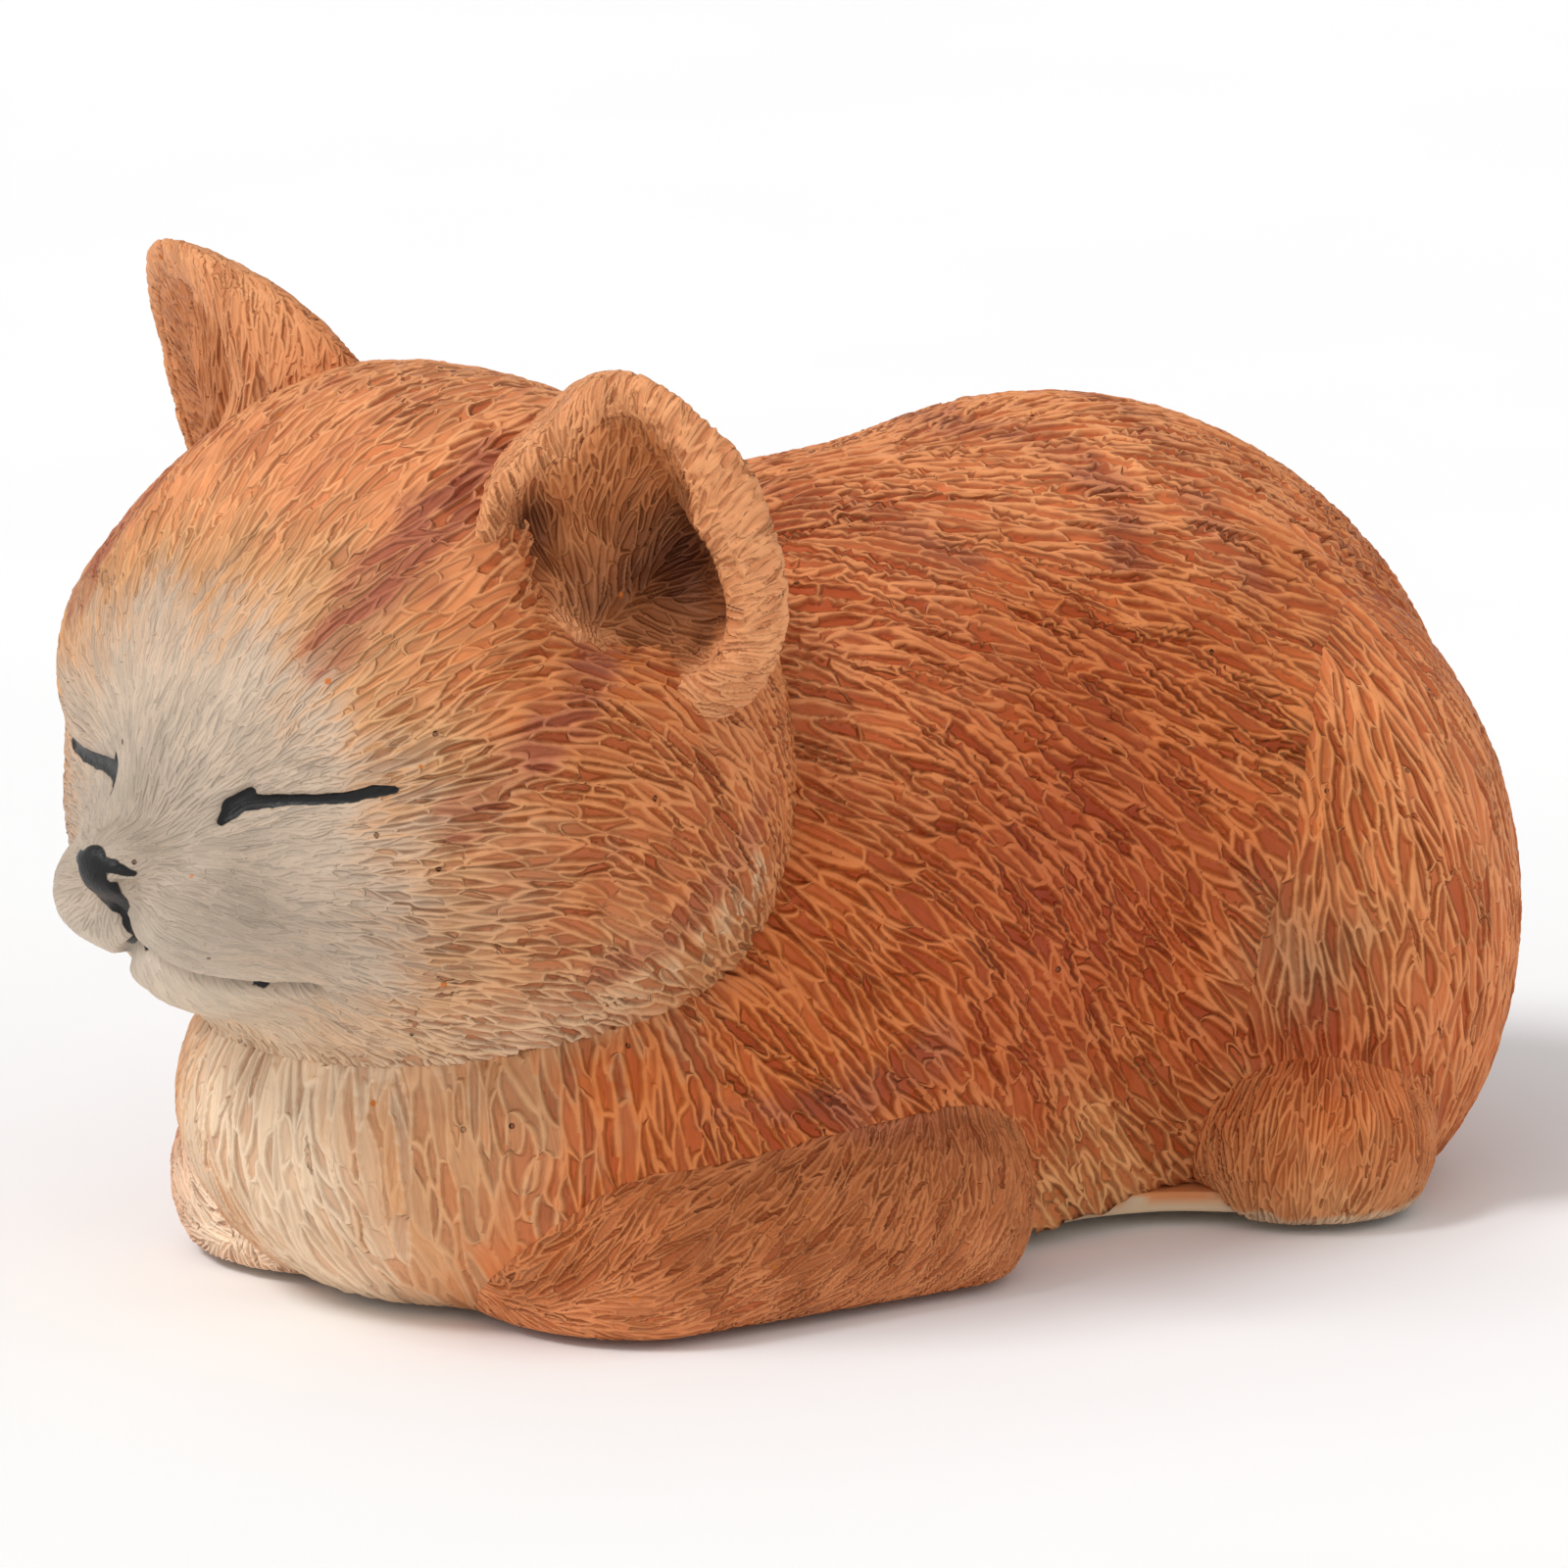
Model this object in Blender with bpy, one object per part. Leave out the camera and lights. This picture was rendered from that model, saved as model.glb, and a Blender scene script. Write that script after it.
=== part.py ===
"""Sleeping kitten figurine of painted cast resin, as its separate forms.

Sizes are in millimetres and become metres when a mesh is made. The kitten faces -Y, its left side is +X,
and it stands on z = 0. Each form is a primitive sphere whose vertices are moved onto a sculpted
surface. Neighbours are cut back by each other's form, grown by one named clearance.
"""

import math

import bmesh
import bpy
import numpy as np
from mathutils import Matrix

MM = 0.001

# Fits
CLEARANCE = 0.33
PAD_HEIGHT = 0.6
SLAB_THICKNESS = 1.2

# Head, with every place on it measured from the middle of the skull
HEAD_CENTRE = (0.0, -49.4, 33.4)
SKULL_RADII = (21.0, 20.6, 20.8)
MUZZLE_AT = (0.0, -14.6, -6.6)
MUZZLE_RADII = (9.0, 7.6, 6.0)
MUZZLE_BLEND = 4.0
WHISKER_PAD_AT = (3.9, -18.6, -6.9)
WHISKER_PAD_RADII = (4.2, 4.4, 3.8)
WHISKER_PAD_BLEND = 1.6
PHILTRUM_BLEND = 0.9
NOSE_AT = (0.0, -21.6, -4.0)
NOSE_RADII = (2.9, 2.9, 2.1)
NOSE_BLEND = 1.2
BRIDGE_AT = (0.0, -17.4, -0.4)
BRIDGE_RADII = (3.4, 4.4, 5.6)
BRIDGE_BLEND = 3.5
CHIN_AT = (0.0, -14.8, -11.4)
CHIN_RADII = (5.2, 5.0, 3.2)
CHIN_BLEND = 2.0
SOCKET_AT = (8.4, -18.8, -1.0)
SOCKET_DEPTH = 1.5
SOCKET_SPREAD = 4.2
BROW_AT = (9.5, -18.0, 6.0)
BROW_HEIGHT = 0.6
BROW_SPREAD = 4.5
CHEEK_AT = (14.5, -14.0, -8.5)
CHEEK_HEIGHT = 0.9
CHEEK_SPREAD = 6.0
RUFF_AT = (15.5, 12.0, -11.5)
RUFF_HEIGHT = 1.9
RUFF_SPREAD = 7.5

FOREHEAD_AT = (0.0, -15.0, 13.0)
FOREHEAD_DEPTH = 0.8
FOREHEAD_SPREAD = 6.0

# Carved lines of the closed eyes and the mouth, as yaw and pitch in degrees from the skull's middle
EYE_LINE = ((17.0, -3.4), (20.5, -2.0), (26.0, -1.4), (33.0, -1.4), (39.5, -0.2), (45.0, 2.6))
EYE_LINE_WIDTH = 0.9
PHILTRUM_LINE = ((0.0, -15.0), (0.0, -18.5), (0.0, -22.5))
MOUTH_LINE = ((0.0, -22.5), (6.0, -26.0), (12.0, -30.0), (19.0, -33.0), (26.0, -33.5))
MOUTH_LINE_WIDTH = 0.7

# Ears, each a cup that stands on the skull, with its reach and lift at every sixth of a turn from its tip
EAR_MIDDLE = (19.1, 0.3, 15.1)
EAR_FACING = (0.48, -0.85, -0.20)
EAR_RISE = (0.04, -0.20, 0.98)
LEFT_EAR_REACHES = (9.2, 8.0, 9.4, 12.2, 6.4, 7.5)
RIGHT_EAR_REACHES = (11.2, 8.0, 9.2, 12.2, 6.4, 8.8)
EAR_LIFTS = (0.0, 0.6, 0.0, 0.0, 3.4, -2.2)
EAR_RIM = 1.9
EAR_HOLLOW = 4.4
EAR_BACK = 9.6
EAR_BACK_INWARD = 8.0
EAR_BACK_DOWN = 3.6
EAR_RIM_START = 0.45
EAR_RIM_END = 0.62
EAR_BED_AT = (15.4, 0.6, 11.2)
EAR_BED_DEPTH = 4.6
EAR_BED_SPREAD = 3.6
EAR_ROOT_AT = (9.5, 4.0, 18.0)
EAR_ROOT_HEIGHT = 0.7
EAR_ROOT_SPREAD = 4.5

# Torso
RUMP_AT = (0.0, -1.0, 21.5)
RUMP_RADII = (22.8, 25.6, 24.4)
RIBS_AT = (0.0, -20.4, 21.2)
RIBS_RADII = (21.5, 21.6, 23.4)
CHEST_AT = (0.0, -40.5, 11.0)
CHEST_RADII = (19.2, 22.2, 13.6)
BELLY_AT = (0.0, -11.0, 9.0)
BELLY_RADII = (20.5, 33.0, 16.0)
TORSO_BLEND = 6.0
TORSO_FRONT_LEVEL = 17.0
SHOULDER_AT = (20.0, -30.0, 20.0)
SHOULDER_HEIGHT = 1.6
SHOULDER_SPREAD = 7.0
HIP_AT = (10.7, 20.0, 28.0)
HIP_HEIGHT = 0.9
HIP_SPREAD = 8.0
WAIST_AT = (22.0, -11.0, 10.0)
WAIST_DEPTH = 2.2
WAIST_SPREAD = 6.0

# Legs and tail
HAUNCH_AT = (15.4, 7.2, 16.4)
HAUNCH_RADII = (12.3, 12.4, 18.8)
HIND_FOOT_AT = (21.7, 1.4, 4.3)
HIND_FOOT_RADII = (7.0, 7.4, 6.4)
ELBOW_AT = (17.4, -26.5, 4.6)
ELBOW_RADIUS = 6.9
WRIST_RADIUS = 6.2
LEFT_WRIST_AT = (15.6, -46.0, 4.4)
LEFT_PAW_AT = (11.4, -48.0, 4.0)
RIGHT_WRIST_AT = (13.6, -48.8, 4.6)
RIGHT_PAW_AT = (9.4, -50.6, 3.6)
PAW_RADII = (6.6, 5.8, 5.4)
PAW_BLEND = 3.0
TAIL_PATH = ((3.0, 14.0, 9.5), (-3.0, 21.0, 7.6), (-13.0, 22.4, 6.0), (-22.6, 17.4, 5.2), (-28.8, 9.6, 4.8),
             (-31.0, 1.0, 4.4))
TAIL_ROOT_RADIUS = 5.0
TAIL_TIP_RADIUS = 3.4

# Foot slab, as one half of its outline from the middle of the front to the middle of the back
SLAB_OUTLINE = ((0.0, -49.0), (13.0, -48.0), (18.6, -40.0), (18.6, -27.0), (16.6, -15.4), (18.6, -9.4),
                (25.4, -7.8), (29.0, -1.6), (25.8, 4.8), (18.2, 11.0), (9.6, 14.8), (0.0, 16.2))
PAD_RADIUS = 3.0
FRONT_PAD_AT = (9.5, -45.4)
REAR_PAD_AT = (17.5, 6.0)
FLOOR_BLOCK = (200.0, 200.0, 40.0)

# Colour and roughness of each piece, found by a word in its name
ORANGE_COAT = ((0.46, 0.15, 0.05), 0.55)
COATS = {
    "head": ((0.56, 0.33, 0.17), 0.55),
    "pad": ((0.02, 0.02, 0.02), 0.90),
    "slab": ((0.64, 0.47, 0.30), 0.60),
    "ear": ((0.54, 0.22, 0.09), 0.55),
    "": ORANGE_COAT,
}

# Facets round and along each form
HEAD_FACETS = (40, 28)
HEAD_CROWDING = 1.25
TORSO_FACETS = (36, 28)
HAUNCH_FACETS = (24, 16)
FORELEG_FACETS = (20, 16)
HIND_FOOT_FACETS = (20, 12)
EAR_FACETS = (28, 18)
TAIL_STEPS = 20
TAIL_ROUNDING = 0.86
TAIL_TIP_FLAT = 0.25
SMOOTH_ANGLE = 40.0
GROOVE_STEPS = 10
SLAB_STEPS = 4
PAD_SIDES = 24

# How far out, and how often halved, a surface is looked for, and how close two points are one
SEARCH_REACH = 120.0
SEARCH_HALVINGS = 40
WELD = 0.01


def vec(*values):
    return np.array(values, dtype=float)


def ellipsoid(points, centre, radii):
    """Distance to an ellipsoid, to first order near its surface."""
    scaled = (points - vec(*centre)) / vec(*radii)
    level = np.linalg.norm(scaled, axis=-1)
    slope = np.linalg.norm(scaled / vec(*radii), axis=-1)
    return level * (level - 1.0) / np.maximum(slope, 1e-9)


def round_cone(points, start, end, start_radius, end_radius):
    """Distance to a tapered limb with round ends."""
    start = vec(*start)
    span = vec(*end) - start
    along = np.clip((points - start) @ span / (span @ span), 0.0, 1.0)
    nearest = start + along[..., None] * span
    radius = start_radius + (end_radius - start_radius) * along
    return np.linalg.norm(points - nearest, axis=-1) - radius


def blend(first, second, width):
    """Union of two forms with a fillet of about the given width."""
    share = np.clip(0.5 + 0.5 * (second - first) / width, 0.0, 1.0)
    return second * (1.0 - share) + first * share - width * share * (1.0 - share)


def swell(points, centre, height, spread):
    """A soft rise of the given height round one place."""
    gap = points - vec(*centre)
    return height * np.exp(-np.sum(gap * gap, axis=-1) / (2.0 * spread ** 2))


def both_sides(points):
    """The same places folded onto the kitten's left side."""
    folded = points.copy()
    folded[..., 0] = np.abs(folded[..., 0])
    return folded


def head_field(points):
    local = points - vec(*HEAD_CENTRE)
    side = both_sides(local)
    form = ellipsoid(local, (0.0, 0.0, 0.0), SKULL_RADII)
    form -= swell(side, RUFF_AT, RUFF_HEIGHT, RUFF_SPREAD)
    form -= swell(side, CHEEK_AT, CHEEK_HEIGHT, CHEEK_SPREAD)
    form -= swell(side, BROW_AT, BROW_HEIGHT, BROW_SPREAD)
    form += swell(local, FOREHEAD_AT, FOREHEAD_DEPTH, FOREHEAD_SPREAD)
    form += swell(side, SOCKET_AT, SOCKET_DEPTH, SOCKET_SPREAD)
    form += swell(side, EAR_BED_AT, EAR_BED_DEPTH, EAR_BED_SPREAD)
    form -= swell(side, EAR_ROOT_AT, EAR_ROOT_HEIGHT, EAR_ROOT_SPREAD)
    form = blend(form, ellipsoid(local, BRIDGE_AT, BRIDGE_RADII), BRIDGE_BLEND)
    form = blend(form, ellipsoid(local, MUZZLE_AT, MUZZLE_RADII), MUZZLE_BLEND)
    form = blend(form, ellipsoid(local, CHIN_AT, CHIN_RADII), CHIN_BLEND)
    left_pad = ellipsoid(local, WHISKER_PAD_AT, WHISKER_PAD_RADII)
    right_pad = ellipsoid(local * vec(-1.0, 1.0, 1.0), WHISKER_PAD_AT, WHISKER_PAD_RADII)
    form = blend(form, blend(left_pad, right_pad, PHILTRUM_BLEND), WHISKER_PAD_BLEND)
    return blend(form, ellipsoid(local, NOSE_AT, NOSE_RADII), NOSE_BLEND)


def torso_field(points):
    side = both_sides(points)
    form = blend(ellipsoid(points, RUMP_AT, RUMP_RADII), ellipsoid(points, RIBS_AT, RIBS_RADII), TORSO_BLEND)
    form = blend(form, ellipsoid(points, BELLY_AT, BELLY_RADII), TORSO_BLEND)
    form = blend(form, ellipsoid(points, CHEST_AT, CHEST_RADII), TORSO_BLEND)
    form -= swell(side, SHOULDER_AT, SHOULDER_HEIGHT, SHOULDER_SPREAD)
    form -= swell(side, HIP_AT, HIP_HEIGHT, HIP_SPREAD)
    return form + swell(side, WAIST_AT, WAIST_DEPTH, WAIST_SPREAD)


def haunch_field(points):
    return ellipsoid(points, HAUNCH_AT, HAUNCH_RADII)


def hind_foot_field(points):
    return ellipsoid(points, HIND_FOOT_AT, HIND_FOOT_RADII)


def foreleg_form(points, wrist, paw):
    forearm = round_cone(points, ELBOW_AT, wrist, ELBOW_RADIUS, WRIST_RADIUS)
    return blend(forearm, ellipsoid(points, paw, PAW_RADII), PAW_BLEND)


def left_foreleg_field(points):
    return foreleg_form(points, LEFT_WRIST_AT, LEFT_PAW_AT)


def right_foreleg_field(points):
    """The right foreleg, which reaches further forward, as if it were on the left side."""
    return foreleg_form(points, RIGHT_WRIST_AT, RIGHT_PAW_AT)


def reach(field, starts, directions, grow):
    """How far along each ray the form ends, found by halving."""
    near = np.zeros(len(starts))
    far = np.full(len(starts), SEARCH_REACH)
    for _ in range(SEARCH_HALVINGS):
        middle = 0.5 * (near + far)
        inside = field(starts + middle[:, None] * directions) < grow
        near = np.where(inside, middle, near)
        far = np.where(inside, far, middle)
    return 0.5 * (near + far)


def pole_frame(axis):
    """Three square axes whose last runs along the given one."""
    along = vec(*axis) / np.linalg.norm(axis)
    side = np.cross(along, vec(0.0, 0.0, 1.0))
    if np.linalg.norm(side) < 1e-6:
        side = vec(1.0, 0.0, 0.0)
    side /= np.linalg.norm(side)
    return side, np.cross(along, side), along


def crowd(unit, power):
    """The ball's rings drawn towards its nose pole, where the form has most detail."""
    turn = np.arccos(np.clip(unit[:, 2], -1.0, 1.0)) / math.pi
    closer = turn ** power * math.pi
    ring = np.maximum(np.hypot(unit[:, 0], unit[:, 1]), 1e-12)
    widen = np.sin(closer) / ring
    poles = ring < 1e-6
    return np.stack([np.where(poles, 0.0, unit[:, 0] * widen), np.where(poles, 0.0, unit[:, 1] * widen),
                     np.cos(closer)], axis=-1)


def new_object(name, mesh, collection):
    thing = bpy.data.objects.new(name, mesh)
    collection.objects.link(thing)
    return thing


def mesh_from(bm, name):
    bmesh.ops.triangulate(bm, faces=bm.faces)
    mesh = bpy.data.meshes.new(name)
    bm.to_mesh(mesh)
    bm.free()
    mesh.shade_smooth()
    mesh.set_sharp_from_angle(angle=math.radians(SMOOTH_ANGLE))
    return mesh


def sculpt(name, field, tail, nose, facets, collection, grow=0.0, pole=(0.0, -1.0, 0.0),
           crowding=1.0):
    """A ball whose poles lie past tail and nose, with each vertex drawn out to the form's surface."""
    tail = vec(*tail)
    nose = vec(*nose)
    axis = nose - tail if np.linalg.norm(nose - tail) > 1e-6 else vec(*pole)
    side, up, along = pole_frame(axis)
    bm = bmesh.new()
    bmesh.ops.create_uvsphere(bm, u_segments=facets[0], v_segments=facets[1], radius=1.0)
    unit = np.array([vertex.co[:] for vertex in bm.verts])
    unit = crowd(unit, crowding)
    directions = unit[:, :1] * side + unit[:, 1:2] * up + unit[:, 2:] * along
    share = 0.5 + 0.5 * unit[:, 2:]
    starts = tail + share * (nose - tail)
    placed = (starts + reach(field, starts, directions, grow)[:, None] * directions) * MM
    for vertex, place in zip(bm.verts, placed):
        vertex.co = place
    return new_object(name, mesh_from(bm, name), collection)


def mirrored(source, name, collection):
    """The same form on the kitten's other side."""
    bm = bmesh.new()
    bm.from_mesh(source.data)
    bmesh.ops.transform(bm, matrix=Matrix.Scale(-1.0, 4, (1.0, 0.0, 0.0)), verts=bm.verts)
    bmesh.ops.reverse_faces(bm, faces=bm.faces)
    mesh = bpy.data.meshes.new(name)
    bm.to_mesh(mesh)
    bm.free()
    return new_object(name, mesh, collection)


def carve(thing, *cutters):
    for cutter in cutters:
        cut = thing.modifiers.new("cut_" + cutter.name, "BOOLEAN")
        cut.operation = "DIFFERENCE"
        cut.object = cutter


def ear_frame():
    """The left ear's middle and its axes: outward across the cup, up to its tip and out of its mouth."""
    facing = vec(*EAR_FACING) / np.linalg.norm(EAR_FACING)
    rise = vec(*EAR_RISE) - facing * (vec(*EAR_RISE) @ facing)
    rise /= np.linalg.norm(rise)
    return vec(*HEAD_CENTRE) + vec(*EAR_MIDDLE), np.cross(rise, facing), rise, facing


def round_the_cup(values, angle):
    """The smoothest round through six values at even turns: a sum of cosines and sines up to the third."""
    total = np.full_like(angle, sum(values) / len(values))
    for wave in (1, 2, 3):
        turns = [2.0 * math.pi * wave * number / len(values) for number in range(len(values))]
        share = 1.0 / len(values) if wave == 3 else 2.0 / len(values)
        cosine = share * sum(value * math.cos(turn) for value, turn in zip(values, turns))
        sine = share * sum(value * math.sin(turn) for value, turn in zip(values, turns))
        total = total + cosine * np.cos(wave * angle) + sine * np.sin(wave * angle)
    return total


def ear_points(unit, reaches):
    """The cup: from the middle of the hollow out over the round rim and in to the middle of the back."""
    angle = np.arctan2(unit[:, 0], unit[:, 1])
    along = np.arccos(np.clip(unit[:, 2], -1.0, 1.0)) / math.pi
    edge = round_the_cup(reaches, angle)
    half_rim = 0.5 * EAR_RIM
    inside = np.clip(along / EAR_RIM_START, 0.0, 1.0)
    over = np.clip((along - EAR_RIM_START) / (EAR_RIM_END - EAR_RIM_START), 0.0, 1.0) * math.pi
    behind = np.clip((along - EAR_RIM_END) / (1.0 - EAR_RIM_END), 0.0, 1.0) * 0.5 * math.pi
    in_hollow = along < EAR_RIM_START
    on_rim = along < EAR_RIM_END
    radius = np.where(in_hollow, (edge - EAR_RIM) * inside,
                      np.where(on_rim, edge - half_rim - half_rim * np.cos(over), edge * np.cos(behind)))
    out = np.where(in_hollow, -EAR_HOLLOW * (1.0 - inside ** 2) ** 2,
                   np.where(on_rim, half_rim * np.sin(over), -EAR_BACK * np.sin(behind)))
    out = out + round_the_cup(EAR_LIFTS, angle) * (radius / edge) ** 2
    middle, across, rise, facing = ear_frame()
    rounding = np.where(on_rim, 0.0, np.sin(behind))
    sideways = radius * np.sin(angle) - EAR_BACK_INWARD * rounding
    upward = radius * np.cos(angle) - EAR_BACK_DOWN * rounding
    return middle + sideways[:, None] * across + upward[:, None] * rise + out[:, None] * facing


def build_ear(name, reaches, collection):
    bm = bmesh.new()
    bmesh.ops.create_uvsphere(bm, u_segments=EAR_FACETS[0], v_segments=EAR_FACETS[1], radius=1.0)
    unit = np.array([vertex.co[:] for vertex in bm.verts])
    for vertex, place in zip(bm.verts, ear_points(unit, reaches) * MM):
        vertex.co = place
    return new_object(name, mesh_from(bm, name), collection)


def mesh_of_curve(curve, name, collection):
    """A curve's solid as a mesh with its caps welded on."""
    guide = new_object(name + "_guide", curve, collection)
    bpy.context.view_layer.update()
    mesh = bpy.data.meshes.new_from_object(guide.evaluated_get(bpy.context.evaluated_depsgraph_get()))
    bpy.data.objects.remove(guide)
    bm = bmesh.new()
    bm.from_mesh(mesh)
    bpy.data.meshes.remove(mesh)
    bmesh.ops.remove_doubles(bm, verts=bm.verts, dist=WELD * MM)
    bmesh.ops.recalc_face_normals(bm, faces=bm.faces)
    return new_object(name, mesh_from(bm, name), collection)


def tail_curve():
    """The tail's middle line through its chosen places, tapered, with a rounded tip."""
    curve = bpy.data.curves.new("tail_line", "CURVE")
    curve.dimensions = "3D"
    curve.bevel_depth = MM
    curve.bevel_resolution = 3
    curve.use_fill_caps = True
    places = smooth_path(TAIL_PATH, TAIL_STEPS)
    line = curve.splines.new("POLY")
    line.points.add(len(places) - 1)
    for number, (point, place) in enumerate(zip(line.points, places)):
        share = number / (len(places) - 1)
        past = max(share - TAIL_ROUNDING, 0.0) / (1.0 - TAIL_ROUNDING)
        taper = TAIL_ROOT_RADIUS + (TAIL_TIP_RADIUS - TAIL_ROOT_RADIUS) * share
        point.co = (*(place * MM), 1.0)
        point.radius = taper * math.sqrt(max(1.0 - past ** 2, TAIL_TIP_FLAT ** 2))
    return curve


def cubic(a, b, c, d, t):
    """A smooth step from b to c that also heeds the places before and after."""
    return 0.5 * (2.0 * b + (c - a) * t + (2.0 * a - 5.0 * b + 4.0 * c - d) * t ** 2
                  + (3.0 * b - a - 3.0 * c + d) * t ** 3)


def smooth_path(points, steps):
    """A cubic through every chosen place, read at even steps."""
    places = [vec(*point) for point in points]
    ends = [2.0 * places[0] - places[1]] + places + [2.0 * places[-1] - places[-2]]
    out = []
    for step in range(steps + 1):
        position = (len(places) - 1) * step / steps
        index = min(int(position), len(places) - 2)
        out.append(cubic(*ends[index:index + 4], position - index))
    return out


def smooth_loop(points, steps):
    """A closed cubic through every chosen place, with the given steps between two places."""
    count = len(points)
    out = []
    for index in range(count):
        around = [points[(index + shift) % count] for shift in (-1, 0, 1, 2)]
        out += [cubic(*around, step / steps) for step in range(steps)]
    return out


def slab_solid(name, collection, grow, low, high):
    """The foot slab: a smooth flat outline, filled and given its thickness."""
    half = [vec(x, y, 0.0) for x, y in SLAB_OUTLINE]
    other = [place * vec(-1.0, 1.0, 1.0) for place in half[-2:0:-1]]
    places = smooth_loop(half + other, SLAB_STEPS)
    curve = bpy.data.curves.new(name, "CURVE")
    curve.dimensions = "2D"
    curve.fill_mode = "BOTH"
    curve.extrude = 0.5 * (high - low) * MM
    curve.offset = grow * MM
    line = curve.splines.new("POLY")
    line.points.add(len(places) - 1)
    line.use_cyclic_u = True
    for point, place in zip(line.points, places):
        point.co = (*(place * MM), 1.0)
    slab = mesh_of_curve(curve, name, collection)
    slab.data.transform(Matrix.Translation((0.0, 0.0, 0.5 * (low + high) * MM)))
    return slab


def pad_solid(name, place, collection):
    bm = bmesh.new()
    bmesh.ops.create_cone(bm, cap_ends=True, segments=PAD_SIDES, radius1=PAD_RADIUS * MM,
                          radius2=PAD_RADIUS * MM, depth=PAD_HEIGHT * MM,
                          matrix=Matrix.Translation((place[0] * MM, place[1] * MM, 0.5 * PAD_HEIGHT * MM)))
    return new_object(name, mesh_from(bm, name), collection)


def on_head(yaw, pitch, lift=0.0):
    """A place on the head's surface, looked at from the middle of the skull."""
    turn = math.radians(yaw)
    tilt = math.radians(pitch)
    direction = vec(math.sin(turn) * math.cos(tilt), -math.cos(turn) * math.cos(tilt), math.sin(tilt))
    centre = vec(*HEAD_CENTRE)
    distance = reach(head_field, centre[None, :], direction[None, :], 0.0)[0]
    return centre + (distance + lift) * direction


def groove(name, line, width, collection, side=1.0):
    """A round-bottomed carved line along the head, as a tube half sunk in the surface."""
    curve = bpy.data.curves.new(name, "CURVE")
    curve.dimensions = "3D"
    curve.bevel_depth = 0.5 * width * MM
    curve.bevel_resolution = 1
    curve.use_fill_caps = True
    flat = smooth_path([(yaw, pitch, 0.0) for yaw, pitch in line], GROOVE_STEPS)
    spline = curve.splines.new("POLY")
    spline.points.add(len(flat) - 1)
    for point, (yaw, pitch, _) in zip(spline.points, flat):
        place = on_head(side * yaw, pitch)
        point.co = (*(place * MM), 1.0)
    return mesh_of_curve(curve, name, collection)


def finish(name, colour, roughness):
    material = bpy.data.materials.new(name)
    material.use_nodes = True
    shader = material.node_tree.nodes["Principled BSDF"]
    shader.inputs["Base Color"].default_value = (*colour, 1.0)
    shader.inputs["Roughness"].default_value = roughness
    shader.inputs["Metallic"].default_value = 0.0
    material.diffuse_color = (*colour, 1.0)
    return material


def coat(thing):
    """Each piece gets its own paint or bare resin, by what it is."""
    for word, (colour, roughness) in COATS.items():
        if word in thing.name:
            thing.data.materials.clear()
            thing.data.materials.append(finish(thing.name + "_coat", colour, roughness))
            return


def floor_block(collection):
    """A block whose top is the lowest level that a painted form may reach."""
    bm = bmesh.new()
    low = Matrix.Translation((0.0, 0.0, (PAD_HEIGHT - 0.5 * FLOOR_BLOCK[2]) * MM))
    size = Matrix.Diagonal((FLOOR_BLOCK[0] * MM, FLOOR_BLOCK[1] * MM, FLOOR_BLOCK[2] * MM, 1.0))
    bmesh.ops.create_cube(bm, size=1.0, matrix=low @ size)
    return new_object("floor_block", mesh_from(bm, "floor_block"), collection)


def build_pair(name, fields, ends, facets, collection, grow=0.0):
    """A limb on both sides: the right one is made as a left one, then mirrored."""
    left = sculpt("left_" + name, fields[0], *ends[0], facets, collection, grow)
    pattern = sculpt(name + "_pattern", fields[1], *ends[1], facets, collection, grow)
    right = mirrored(pattern, "right_" + name, collection)
    bpy.data.objects.remove(pattern)
    return left, right


def build_limbs(parts, cutters):
    """The paired limbs, and the room that each of them takes in its neighbours."""
    haunch_ends = (HAUNCH_AT, HAUNCH_AT)
    foot_ends = (HIND_FOOT_AT, HIND_FOOT_AT)
    leg_ends = ((ELBOW_AT, LEFT_PAW_AT), (ELBOW_AT, RIGHT_PAW_AT))
    forms = (("haunch", (haunch_field, haunch_field), (haunch_ends, haunch_ends), HAUNCH_FACETS),
             ("foreleg", (left_foreleg_field, right_foreleg_field), leg_ends, FORELEG_FACETS),
             ("hind_foot", (hind_foot_field, hind_foot_field), (foot_ends, foot_ends), HIND_FOOT_FACETS))
    solids = {}
    rooms = {}
    for name, fields, ends, facets in forms:
        solids[name] = build_pair(name, fields, ends, facets, parts)
        rooms[name] = build_pair(name + "_room", fields, ends, facets, cutters, CLEARANCE)
    return solids, rooms


def build_head(name, collection, grow=0.0):
    return sculpt(name, head_field, HEAD_CENTRE, HEAD_CENTRE, HEAD_FACETS, collection, grow, NOSE_AT,
                  HEAD_CROWDING)


def build_torso(name, collection, grow=0.0):
    front = (0.0, CHEST_AT[1], TORSO_FRONT_LEVEL)
    return sculpt(name, torso_field, RUMP_AT, front, TORSO_FACETS, collection, grow)


def face_lines(cutters):
    lines = [groove("philtrum_line", PHILTRUM_LINE, MOUTH_LINE_WIDTH, cutters)]
    for sign, side in ((1.0, "left"), (-1.0, "right")):
        lines.append(groove(f"{side}_eye_line", EYE_LINE, EYE_LINE_WIDTH, cutters, sign))
        lines.append(groove(f"{side}_mouth_line", MOUTH_LINE, MOUTH_LINE_WIDTH, cutters, sign))
    return lines


def centre_on_origin(things, parts):
    """Hang everything on one empty that brings the middle of the figure's footprint box to the origin."""
    root = bpy.data.objects.new("figure_root", None)
    bpy.context.scene.collection.objects.link(root)
    bpy.context.view_layer.update()
    depsgraph = bpy.context.evaluated_depsgraph_get()
    corners = np.array([corner[:] for thing in parts for corner in thing.evaluated_get(depsgraph).bound_box])
    middle = 0.5 * (corners.min(axis=0) + corners.max(axis=0))
    for thing in things:
        thing.parent = root
    root.location = (-middle[0], -middle[1], 0.0)


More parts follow.
